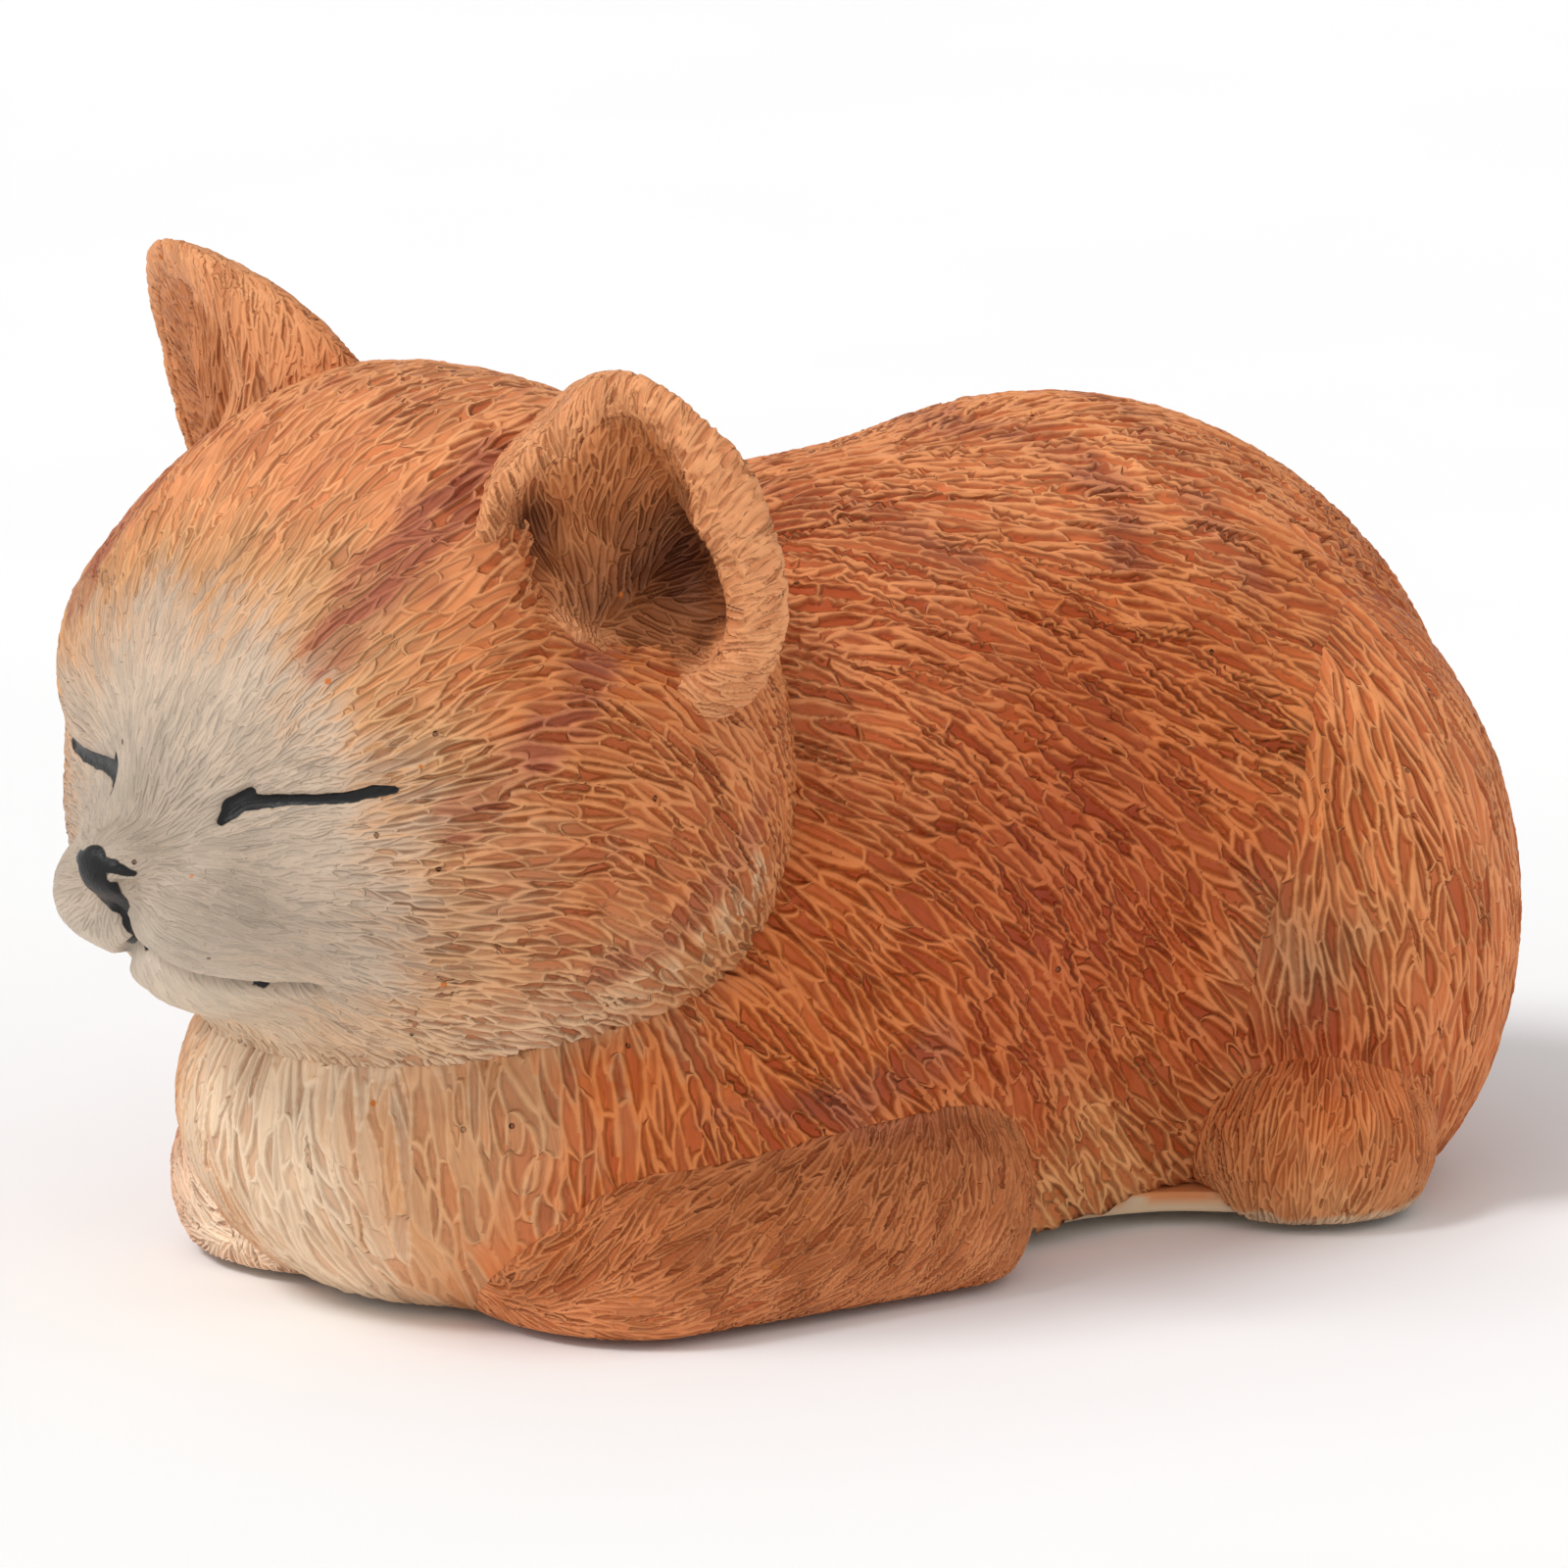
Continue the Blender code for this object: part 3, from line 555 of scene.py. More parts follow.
def soft_noise(points, size, seed):
    """Smooth noise of about the given grain: a mean of plane sine waves in seeded random directions."""
    rng = np.random.default_rng(seed)
    ways = unit(rng.normal(size=(NOISE_WAVES, 3)))
    ways = ways * rng.uniform(0.6, 1.5, (NOISE_WAVES, 1)) * 2.0 * math.pi / size
    phases = rng.uniform(0.0, 2.0 * math.pi, NOISE_WAVES)
    total = np.zeros(points.shape[:-1])
    for way, phase in zip(ways, phases):
        total += np.sin(points @ way + phase)
    return total / math.sqrt(NOISE_WAVES / 2.0) / 2.0


def cubic(a, b, c, d, t):
    """The cubic from b to c whose slope at each is half the step between its neighbours."""
    return 0.5 * (2.0 * b + (c - a) * t + (2.0 * a - 5.0 * b + 4.0 * c - d) * t ** 2
                  + (3.0 * b - a - 3.0 * c + d) * t ** 3)


def sample(grid, row, column):
    """The grid's values between its places, weighted by the share of each of the four round a place."""
    rows, columns = grid.shape[:2]
    row = np.clip(row, 0.0, rows - 1.001)
    low, left = row.astype(int), np.floor(column).astype(int)
    down, across = (row - low)[..., None], (column - left)[..., None]
    left, right = left % columns, (left + 1) % columns
    upper = grid[low, left] * (1.0 - across) + grid[low, right] * across
    lower = grid[low + 1, left] * (1.0 - across) + grid[low + 1, right] * across
    return upper * (1.0 - down) + lower * down


def lay_gouges(grid, normals, flow, cell, length, width, depth, seed, wander):
    """Where the gouges lie. Rows of cells lie across the surface, each row with as many cells as fit round
    it, and each cell has one gouge at a random place. Its long axis is the flow, turned a little at
    random. The cell's size is a function of the share of the way from nose to tail; length, width and
    depth are functions of the place."""
    rng = np.random.default_rng(seed)
    rings, columns = grid.shape[0] - 1, grid.shape[1]
    arcs = np.linalg.norm(np.roll(grid, -1, axis=1) - grid, axis=-1)
    lap = np.maximum(arcs.sum(axis=1), 1e-6)
    turned = (np.cumsum(arcs, axis=1) - arcs) / lap[:, None]
    drop = np.linalg.norm(np.diff(grid, axis=0), axis=-1).mean(axis=1)
    level = np.concatenate([[0.0], np.cumsum(drop / cell((np.arange(rings) + 0.5) / rings))])
    rows = max(int(round(level[-1])), 4)
    level = level * rows / level[-1]
    numbers = np.arange(rings + 1)
    middles = np.interp(np.arange(rows) + 0.5, level, numbers)
    counts = np.maximum(np.round(np.interp(middles, numbers, lap) / cell(middles / rings)).astype(int), 3)
    firsts = np.concatenate([[0], np.cumsum(counts)])
    total = firsts[-1]
    row_of = np.repeat(np.arange(rows), counts)
    cell_of = np.arange(total) - firsts[row_of]
    shifts = rng.uniform(0.0, 1.0, rows)
    at_row = np.interp(row_of + rng.uniform(0.08, 0.92, total), level, numbers)
    share_round = (cell_of + shifts[row_of] + rng.uniform(0.1, 0.9, total)) / counts[row_of] % 1.0
    at_column = np.zeros(total)
    for row in range(rows):
        laid = turned[int(np.clip(round(middles[row]), 1, rings - 1))]
        here = row_of == row
        at_column[here] = np.interp(share_round[here], np.append(laid, 1.0), np.arange(columns + 1))
    places = sample(grid, at_row, at_column)
    outs = unit(sample(normals, at_row, at_column))
    lines = flow(places)
    lines = unit(lines - dot(lines, outs)[:, None] * outs)
    turn = rng.normal(0.0, wander, total)[:, None]
    across = np.cross(outs, lines)
    lines, across = lines * np.cos(turn) + across * np.sin(turn), across * np.cos(turn) - lines * np.sin(turn)
    return {
        "places": places, "lines": lines, "across": across,
        "lengths": length(places) * rng.uniform(0.65, 1.25, total),
        "widths": width(places) * rng.uniform(0.7, 1.3, total),
        "depths": depth(places) * rng.uniform(0.55, 1.2, total),
        "tones": rng.uniform(0.0, 1.0, total),
        "rows": rows, "counts": counts, "firsts": firsts, "shifts": shifts, "level": level, "turned": turned,
    }


def across_gouge(laid, index, points):
    """Where points lie along and across a gouge, in shares of its half length and half width."""
    gap = points - laid["places"][index]
    ahead = dot(gap, laid["lines"][index]) / laid["lengths"][index]
    beside = dot(gap, laid["across"][index]) / laid["widths"][index]
    return ahead, beside


def near_gouges(laid, home, share):
    """The gouges in the cells round each place, one array of their numbers after another."""
    rows, counts = laid["rows"], laid["counts"]
    for row_step in range(-CELLS_AROUND, CELLS_AROUND + 1):
        row = home + row_step
        real = (row >= 0) & (row < rows)
        row = np.clip(row, 0, rows - 1)
        column = np.floor(share * counts[row] - laid["shifts"][row]).astype(int)
        for cell_step in range(-CELLS_AROUND, CELLS_AROUND + 1):
            yield laid["firsts"][row] + (column + cell_step) % counts[row], real


def nearest_gouges(laid, home, turned, points, count):
    """The nearest gouges of each point and how near they are, a being the share along and b across:
    the square root of a^2 + b^2."""
    best = [np.full(points.shape[:2], 1e9) for _ in range(count)]
    which = [np.full(points.shape[:2], -1) for _ in range(count)]
    for index, real in near_gouges(laid, home, turned):
        for known in which:
            real = real & (index != known)
        ahead, beside = across_gouge(laid, index, points)
        far = np.where(real, np.sqrt(ahead * ahead + beside * beside), 1e9)
        for place in range(count):
            nearer = far < best[place]
            best[place], far = np.where(nearer, far, best[place]), np.where(nearer, best[place], far)
            which[place], index = np.where(nearer, index, which[place]), np.where(nearer, which[place], index)
    return best, [np.maximum(index, 0) for index in which]


def ridge_gap(one, two):
    """How far a place lies inside the first of two gouges, in half widths, from its place along and across
    both: the difference of a^2 + b^2, over twice the length of the difference of (SLIMNESS a, b)."""
    (ahead, beside), (far_ahead, far_beside) = one, two
    apart = np.hypot(SLIMNESS * (far_ahead - ahead), far_beside - beside)
    return (far_ahead ** 2 + far_beside ** 2 - ahead ** 2 - beside ** 2) / (2.0 * np.maximum(apart, 1e-6))


def carve(grid, laid):
    """Each place belongs to its nearest gouge, and the ridges lie where two are as near. The depth is
    D t^2 (3 - 2 t), where t is the gap to the ridge over FULL_DEPTH_AT. Returns the depth at each point,
    the gouge's random tone, and at the corners of each face the nearest gouges: place along and across,
    full depth and tone."""
    home = np.minimum(laid["level"].astype(int), laid["rows"] - 1)[:, None] + np.zeros(grid.shape[:2], int)
    _, (index, *others) = nearest_gouges(laid, home, laid["turned"], grid, 3)
    own = across_gouge(laid, index, grid)
    gap = np.minimum.reduce([ridge_gap(own, across_gouge(laid, other, grid)) for other in others])
    sunk = laid["depths"][index] * step(0.0, FULL_DEPTH_AT, gap)
    wrapped = np.concatenate([grid, grid[:, :1]], axis=1)
    corners = (wrapped[:-1, :-1], wrapped[1:, :-1], wrapped[1:, 1:], wrapped[:-1, 1:])
    _, which = nearest_gouges(laid, home[:-1], laid["turned"][:-1], sum(corners) / 4.0, NEAR_GOUGES)
    cuts = {}
    for number, near in enumerate(which, 1):
        depth, shade = laid["depths"][near], laid["tones"][near]
        values = [np.stack([*across_gouge(laid, near, corner), depth, shade], axis=-1) for corner in corners]
        cuts[f"cut_{number}"] = np.stack(values, axis=2)
    return {"sunk": sunk, "tone": laid["tones"][index], "cuts": cuts}


def same(value):
    """A size that is alike all over."""
    return lambda places: np.full(len(places), value)


def growing(sizes, share_of):
    """A size that grows from the first number by up to the second, with a share of the place."""
    return lambda places: sizes[0] + sizes[1] * share_of(places)


def alike(fur):
    """The same for each size of a form's fur."""
    return [same(value) for value in fur]


def line_gap(points, path, widths=None):
    """Distance from each point to a broken line, less the line's half width at the nearest place."""
    best = np.full(points.shape[:-1], 1e3)
    for index in range(len(path) - 1):
        start, span = path[index], path[index + 1] - path[index]
        along = np.clip((points - start) @ span / max(span @ span, 1e-9), 0.0, 1.0)
        gap = np.linalg.norm(points - start - along[..., None] * span, axis=-1)
        if widths is not None:
            gap = gap - (widths[index] * (1.0 - along) + widths[index + 1] * along)
        best = np.minimum(best, gap)
    return best


def spray(coat, points, place, spread, paint, strength, seed):
    """Paint sprayed round one place, with a ragged edge: strength times a bell of the gap."""
    gap = np.linalg.norm((points - vec(*place)) / vec(*spread), axis=-1)
    gap = gap * (1.0 + 0.25 * soft_noise(points, 5.0, seed + 40))
    share = strength * np.exp(-0.5 * gap ** 2)
    return coat + share[..., None] * (vec(*paint) - coat)


def brush(coat, points, path, width, paint, strength, tone, seed):
    """A stripe brushed with separate strokes: each gouge keeps or loses the paint by its own tone."""
    gap = line_gap(points, [vec(*place) for place in path])
    gap = gap / width * (1.0 + 0.3 * soft_noise(points, 4.0, seed + 70))
    share = strength * step(1.15, 0.35, gap) * (0.35 + 0.65 * step(0.2, 0.75, tone))
    return coat + share[..., None] * (vec(*paint) - coat)


def make_mesh(name, grid, attributes=None, corners=None):
    """One mesh from a grid of rings: the first and last ring close to a point each, and the columns close
    round. Attributes are laid on its points, and corners hold four values at each face's corners."""
    rings, columns = grid.shape[0] - 1, grid.shape[1]
    points = np.concatenate([grid[:1].mean(axis=1), grid[1:-1].reshape(-1, 3), grid[-1:].mean(axis=1)])
    index = 1 + np.arange((rings - 1) * columns).reshape(rings - 1, columns)
    right = np.roll(index, -1, axis=1)
    quads = np.stack([index[:-1], index[1:], right[1:], right[:-1]], axis=-1).reshape(-1, 4)
    first = np.stack([np.zeros(columns, int), index[0], right[0]], axis=-1)
    last = np.stack([np.full(columns, len(points) - 1), right[-1], index[-1]], axis=-1)
    outward = signed_volume(points, quads, first, last) > 0.0
    fours, threes = ([0, 1, 2, 3], [0, 1, 2]) if outward else ([0, 3, 2, 1], [0, 2, 1])
    loops = np.concatenate([quads[:, fours].ravel(), first[:, threes].ravel(), last[:, threes].ravel()])
    sizes = np.concatenate([np.full(len(quads), 4), np.full(2 * columns, 3)])
    mesh = bpy.data.meshes.new(name)
    mesh.vertices.add(len(points))
    mesh.vertices.foreach_set("co", ((points + TO_FRAME) * MM).astype(np.float32).ravel())
    mesh.loops.add(len(loops))
    mesh.loops.foreach_set("vertex_index", loops.astype(np.int32))
    mesh.polygons.add(len(sizes))
    mesh.polygons.foreach_set("loop_start", np.concatenate([[0], np.cumsum(sizes)[:-1]]).astype(np.int32))
    mesh.update(calc_edges=True)
    for key, values in (attributes or {}).items():
        flat = values.reshape(rings + 1, columns, -1)
        flat = np.concatenate([flat[:1].mean(axis=1), flat[1:-1].reshape(-1, flat.shape[-1]),
                               flat[-1:].mean(axis=1)])
        if flat.shape[1] == 1:
            layer = mesh.attributes.new(key, "FLOAT", "POINT")
            layer.data.foreach_set("value", flat.astype(np.float32).ravel())
        else:
            layer = mesh.attributes.new(key, "FLOAT_COLOR", "POINT")
            colours = np.concatenate([flat, np.ones((len(flat), 1))], axis=1)
            layer.data.foreach_set("color", colours.astype(np.float32).ravel())
    for key, values in (corners or {}).items():
        laid = [values[1:-1][:, :, fours].reshape(-1, 4), values[0][:, [0, 1, 2]][:, threes].reshape(-1, 4),
                values[-1][:, [1, 3, 0]][:, threes].reshape(-1, 4)]
        layer = mesh.attributes.new(key, "FLOAT_COLOR", "CORNER")
        layer.data.foreach_set("color", np.concatenate(laid).astype(np.float32).ravel())
    mesh.shade_smooth()
    return mesh


def signed_volume(points, *faces):
    """Six times the volume: the sum of the triple products of each face's corners about its first."""
    total = 0.0
    for corners in faces:
        first = points[corners[:, 0]]
        for second in range(1, corners.shape[1] - 1):
            spans = np.cross(points[corners[:, second]], points[corners[:, second + 1]])
            total += np.sum(dot(first, spans))
    return total


def add_piece(name, mesh, material, slot, *nodes):
    """Puts a finished mesh into the scene for the nodes that it stands for."""
    thing = bpy.data.objects.new(name, mesh)
    bpy.context.scene.collection.objects.link(thing)
    mesh.materials.append(material)
    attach(thing, "root")
    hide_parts(*nodes)


def settings():
    """The sizes and colours in the sidebar."""
    return bpy.context.scene.kitten


def mix(first, second, share):
    """Between two colours, each one for all places or one for each, by a share at every place."""
    return first + np.asarray(share)[..., None] * (np.asarray(second) - first)


def coloured(points, colour):
    """One colour at every place."""
    return np.zeros(points.shape) + vec(*colour)


# Flow of the fur, as directions at given places


def head_flow(places):
    """Away from the nose, and more and more down to the back of the cheeks."""
    face = on_face(places)
    away = unit(face - vec(0.0, -24.5, -4.5))
    behind = step(-14.0, 4.0, face[:, 1]) * step(12.0, 2.0, face[:, 2])
    away[:, 2] -= 0.75 * behind
    cosine, sine = math.cos(FACE_TURN), math.sin(FACE_TURN)
    return np.stack([away[:, 0] * cosine - away[:, 1] * sine, away[:, 0] * sine + away[:, 1] * cosine,
                     away[:, 2]], axis=-1)


def torso_flow(places):
    """Back from the neck, ever more down the flanks, and straight down on the chest."""
    side = np.tanh(places[:, 0] / 6.0)
    height = step(10.0, 44.0, places[:, 2])
    chest = step(-36.0, -50.0, places[:, 1])
    behind = step(8.0, 22.0, places[:, 1])
    back = 0.75 * (1.0 - chest) * (1.0 - behind) + 0.1
    down = -0.35 - 0.75 * (1.0 - height) - 0.8 * chest - 0.6 * behind
    return np.stack([0.35 * side, back, down], axis=-1)


def from_joint(places, joint):
    """Gaps to the places from a joint that is given on the left side and stands on both."""
    both = np.stack([np.sign(places[:, 0]), *np.ones((2, len(places)))], axis=-1)
    return places - vec(*joint) * both


def haunch_flow(places):
    """Away from the point of the hip, and down."""
    away = unit(from_joint(places, (14.0, 4.0, 32.0)))
    away[:, 2] -= 0.45
    return away


def hind_foot_flow(places):
    """Spread from the ankle down and forward."""
    return from_joint(places, (21.0, 3.0, 12.0))


def foreleg_flow(places):
    """Fanned from the top of the elbow to the paw and the ground."""
    away = unit(from_joint(places, (15.0, -27.0, 15.0)))
    away[:, 1] -= 0.35
    return away


# Paints of the coat, worked out at every point


def paint_head(points, tone):
    """Cream round the nose, then honey, peach and orange by the angle from it, with the stripes on top."""
    local = points - vec(*HEAD_CENTRE)
    tints = settings()
    away = off_middle(points) + 4.0 * soft_noise(points, 7.0, 3) + 9.0 * (tone - 0.5)
    low = step(-3.0, -13.0, local[..., 2] + 2.0 * soft_noise(points, 6.0, 5))
    high = step(6.0, 15.0, local[..., 2])
    outer = mix(mix(coloured(points, tints.orange), tints.peach, 0.9 * high), tints.honey, 0.25 + 0.55 * low)
    coat = mix(coloured(points, tints.cream), tints.honey, step(31.0, 52.0, away))
    coat = mix(coat, outer, step(48.0, 72.0, away))
    # Round the muzzle a grey paint, darkened as painted shade on the bridge of the nose and under the eyes,
    # turns to cream below, lightened as painted light on the chin
    chin = step(-5.0, -10.0, local[..., 2])
    front = mix(coloured(points, MUZZLE_GREY_AND_SHADE), vec(*CHIN_CREAM_AND_LIGHT), chin)
    coat = mix(coat, front, 0.75 * step(34.0, 14.0, away))
    # A painted shade on each cheek below the eye
    coat = spray(coat, folded(local), (10.5, -17.0, -6.0), (6.5, 8.0, 3.4), CHEEK_PAINTED_SHADE, 0.6, seed=11)
    # Cream paint under the jaw, lightened as painted light from below
    jaw = step(-9.0, -17.0, local[..., 2]) * step(8.0, -6.0, local[..., 1])
    coat = mix(coat, vec(*JAW_CREAM_AND_LIGHT), 0.6 * jaw)
    fringe = [vec(11.0, -8.6, -15.4), vec(15.6, -1.6, -13.6), vec(18.4, 5.0, -10.4), vec(19.0, 9.0, -6.6)]
    edge = line_gap(folded(local), fringe)
    coat = mix(coat, vec(*RUFF_SAND), 0.75 * step(2.6, 0.6, edge) * step(0.35, 0.6, tone))
    stripes = (
        (((10.5, -2.5, 17.6), (11.4, -8.6, 15.6), (11.4, -13.0, 12.2), (10.8, -16.2, 9.2)), 2.5, 0.92),
        (((17.8, -1.0, 8.6), (19.0, -5.0, 5.0), (18.8, -9.0, 2.0), (16.8, -12.0, -0.6)), 2.1, 0.85),
        (((20.2, 9.0, -3.0), (20.4, 5.0, -6.6), (19.6, 1.6, -9.4), (18.6, -2.4, -11.0)), 1.7, 0.55),
        (((3.4, -3.0, 20.0), (3.6, -8.0, 19.2), (3.4, -12.0, 16.6)), 1.3, 0.35),
    )
    for number, (path, width, strength) in enumerate(stripes):
        coat = brush(coat, folded(local), path, width, tints.mauve, strength, tone, number)
    return coat


def paint_body(points, tone):
    """The coat behind the head, one paint over another, the same on every piece that lies there."""
    tints = settings()
    wobble = soft_noise(points, 9.0, 21)
    side = folded(points)
    height = points[..., 2] + 2.5 * wobble + 4.0 * (tone - 0.5)
    coat = mix(coloured(points, tints.orange), tints.peach, 0.7 * step(33.0, 46.0, height))
    sprays = (
        # The first two sprays are the flank's darker rust paint, and also painted shade on the side of the
        # flank away from the light
        ((22.0, -18.0, 25.0), (9.0, 8.5, 9.5), tints.rust, 0.70, 0),
        ((20.5, -20.0, 12.0), (6.0, 7.0, 6.0), tints.rust, 0.40, 1),
        # Paler paint low on the flank between belly and back paw, strengthened as painted light against the
        # shade near the ground
        ((18.0, -13.0, 2.0), (9.0, 8.0, 4.6), (0.86, 0.40, 0.15), 0.85, 2),
        ((26.0, 3.0, 22.0), (5.0, 3.0, 8.0), (0.42, 0.17, 0.045), 0.6, 3),
        ((24.5, -2.0, 15.5), (3.0, 2.0, 3.4), (0.33, 0.20, 0.10), 0.75, 4),
        ((24.0, -1.5, 10.6), (6.0, 5.0, 1.8), tints.rust, 0.75, 5),
        ((20.0, -7.5, 6.5), (2.0, 1.6, 4.0), tints.rust, 0.35, 6),
        ((9.0, -27.0, 41.0), (8.0, 7.0, 5.0), tints.rust, 0.2, 9),
        ((6.0, -1.0, 45.0), (8.0, 7.0, 4.0), (0.92, 0.33, 0.12), 0.6, 12),
        ((26.0, 10.0, 25.0), (7.0, 6.0, 16.0), tints.peach, 0.75, 7),
        # Painted light: peach on the top of the neck behind the ear, where the ear's shadow falls
        ((13.0, -31.0, 36.0), (6.0, 5.0, 6.0), tints.peach, 0.6, 13),
        ((22.0, -2.0, 6.0), (6.0, 6.0, 4.0), (0.50, 0.145, 0.040), 0.55, 14),
        ((26.0, 0.0, 1.5), (7.0, 9.0, 1.8), tints.honey, 0.5, 8),
    )
    for place, spread, paint, strength, seed in sprays:
        coat = spray(coat, side, place, spread, paint, strength, seed)
    across = side[..., 0] + 1.6 * wobble + 4.0 * (tone - 0.5) - 0.25 * (points[..., 2] - 12.0)
    front = step(-36.0, -50.0, points[..., 1] + 2.0 * wobble)
    coat = mix(coat, vec(*CHEST_SAND), 0.85 * front * step(18.5, 12.0, across))
    # The chest's cream paint, lightened as painted light in the shade under the chin
    coat = mix(coat, vec(*CHEST_CREAM_AND_LIGHT), 0.92 * front * step(12.0, 3.5, across))
    bands = (
        (((0.0, -25.0, 43.5), (6.0, -22.0, 43.6), (12.0, -18.0, 40.5)), 1.7, 0.5),
        (((0.0, -8.0, 46.5), (6.0, -5.0, 45.0), (11.0, -5.0, 42.5), (14.5, -7.0, 39.5)), 2.2, 0.75),
        (((0.0, 4.0, 46.0), (8.0, 2.0, 43.4), (14.0, 0.0, 40.5), (17.0, 1.0, 37.0)), 1.8, 0.55),
        (((13.0, -52.0, 13.4), (16.4, -47.5, 12.8), (18.8, -40.0, 12.6), (20.0, -34.0, 12.2)), 1.3, 0.75),
        (((20.0, -34.0, 12.2), (21.0, -31.0, 13.0), (21.6, -28.0, 14.5)), 2.2, 0.6),
        (((0.0, 14.0, 41.0), (8.0, 15.0, 38.0), (14.0, 14.0, 34.0)), 1.8, 0.35),
    )
    for number, (path, width, strength) in enumerate(bands):
        coat = brush(coat, side, path, width, tints.mauve, strength, tone, 10 + number)
    return coat


def paint_hind_foot(points, tone):
    """The body's coat, and bare resin where the paint stops short of the ground."""
    bare = step(1.5, 1.0, points[..., 2] + 0.25 * soft_noise(points, 2.6, 35))
    return mix(paint_body(points, tone), vec(*settings().resin), 0.8 * bare)


def paint_foreleg(points, tone):
    """The body's coat, a little browner, with worn pale paint where the leg meets the ground."""
    tints = settings()
    coat = mix(paint_body(points, tone), vec(*LEG_BROWN), 0.75)
    low = step(5.0, 1.0, points[..., 2] + 1.4 * soft_noise(points, 5.0, 31))
    coat = mix(coat, tints.peach, 0.45 * low)
    coat = spray(coat, points, (-9.0, -54.0, 4.0), (6.0, 6.0, 5.0), PAW_CREAM, 0.9, seed=15)
    return spray(coat, folded(points), (19.0, -31.0, 11.5), (4.0, 4.0, 1.6), tints.mauve, 0.7, seed=9)


def paint_tail(points, tone):
    """Orange with mauve rings, a sine of the place across the body, on the strokes of a high tone."""
    tints = settings()
    coat = coloured(points, tints.orange)
    rings = step(0.2, 0.9, np.sin(points[..., 0] * 0.62 + 0.8 * soft_noise(points, 6.0, 33)))
    return mix(coat, tints.mauve, 0.45 * rings * step(0.2, 0.7, tone))


# Materials


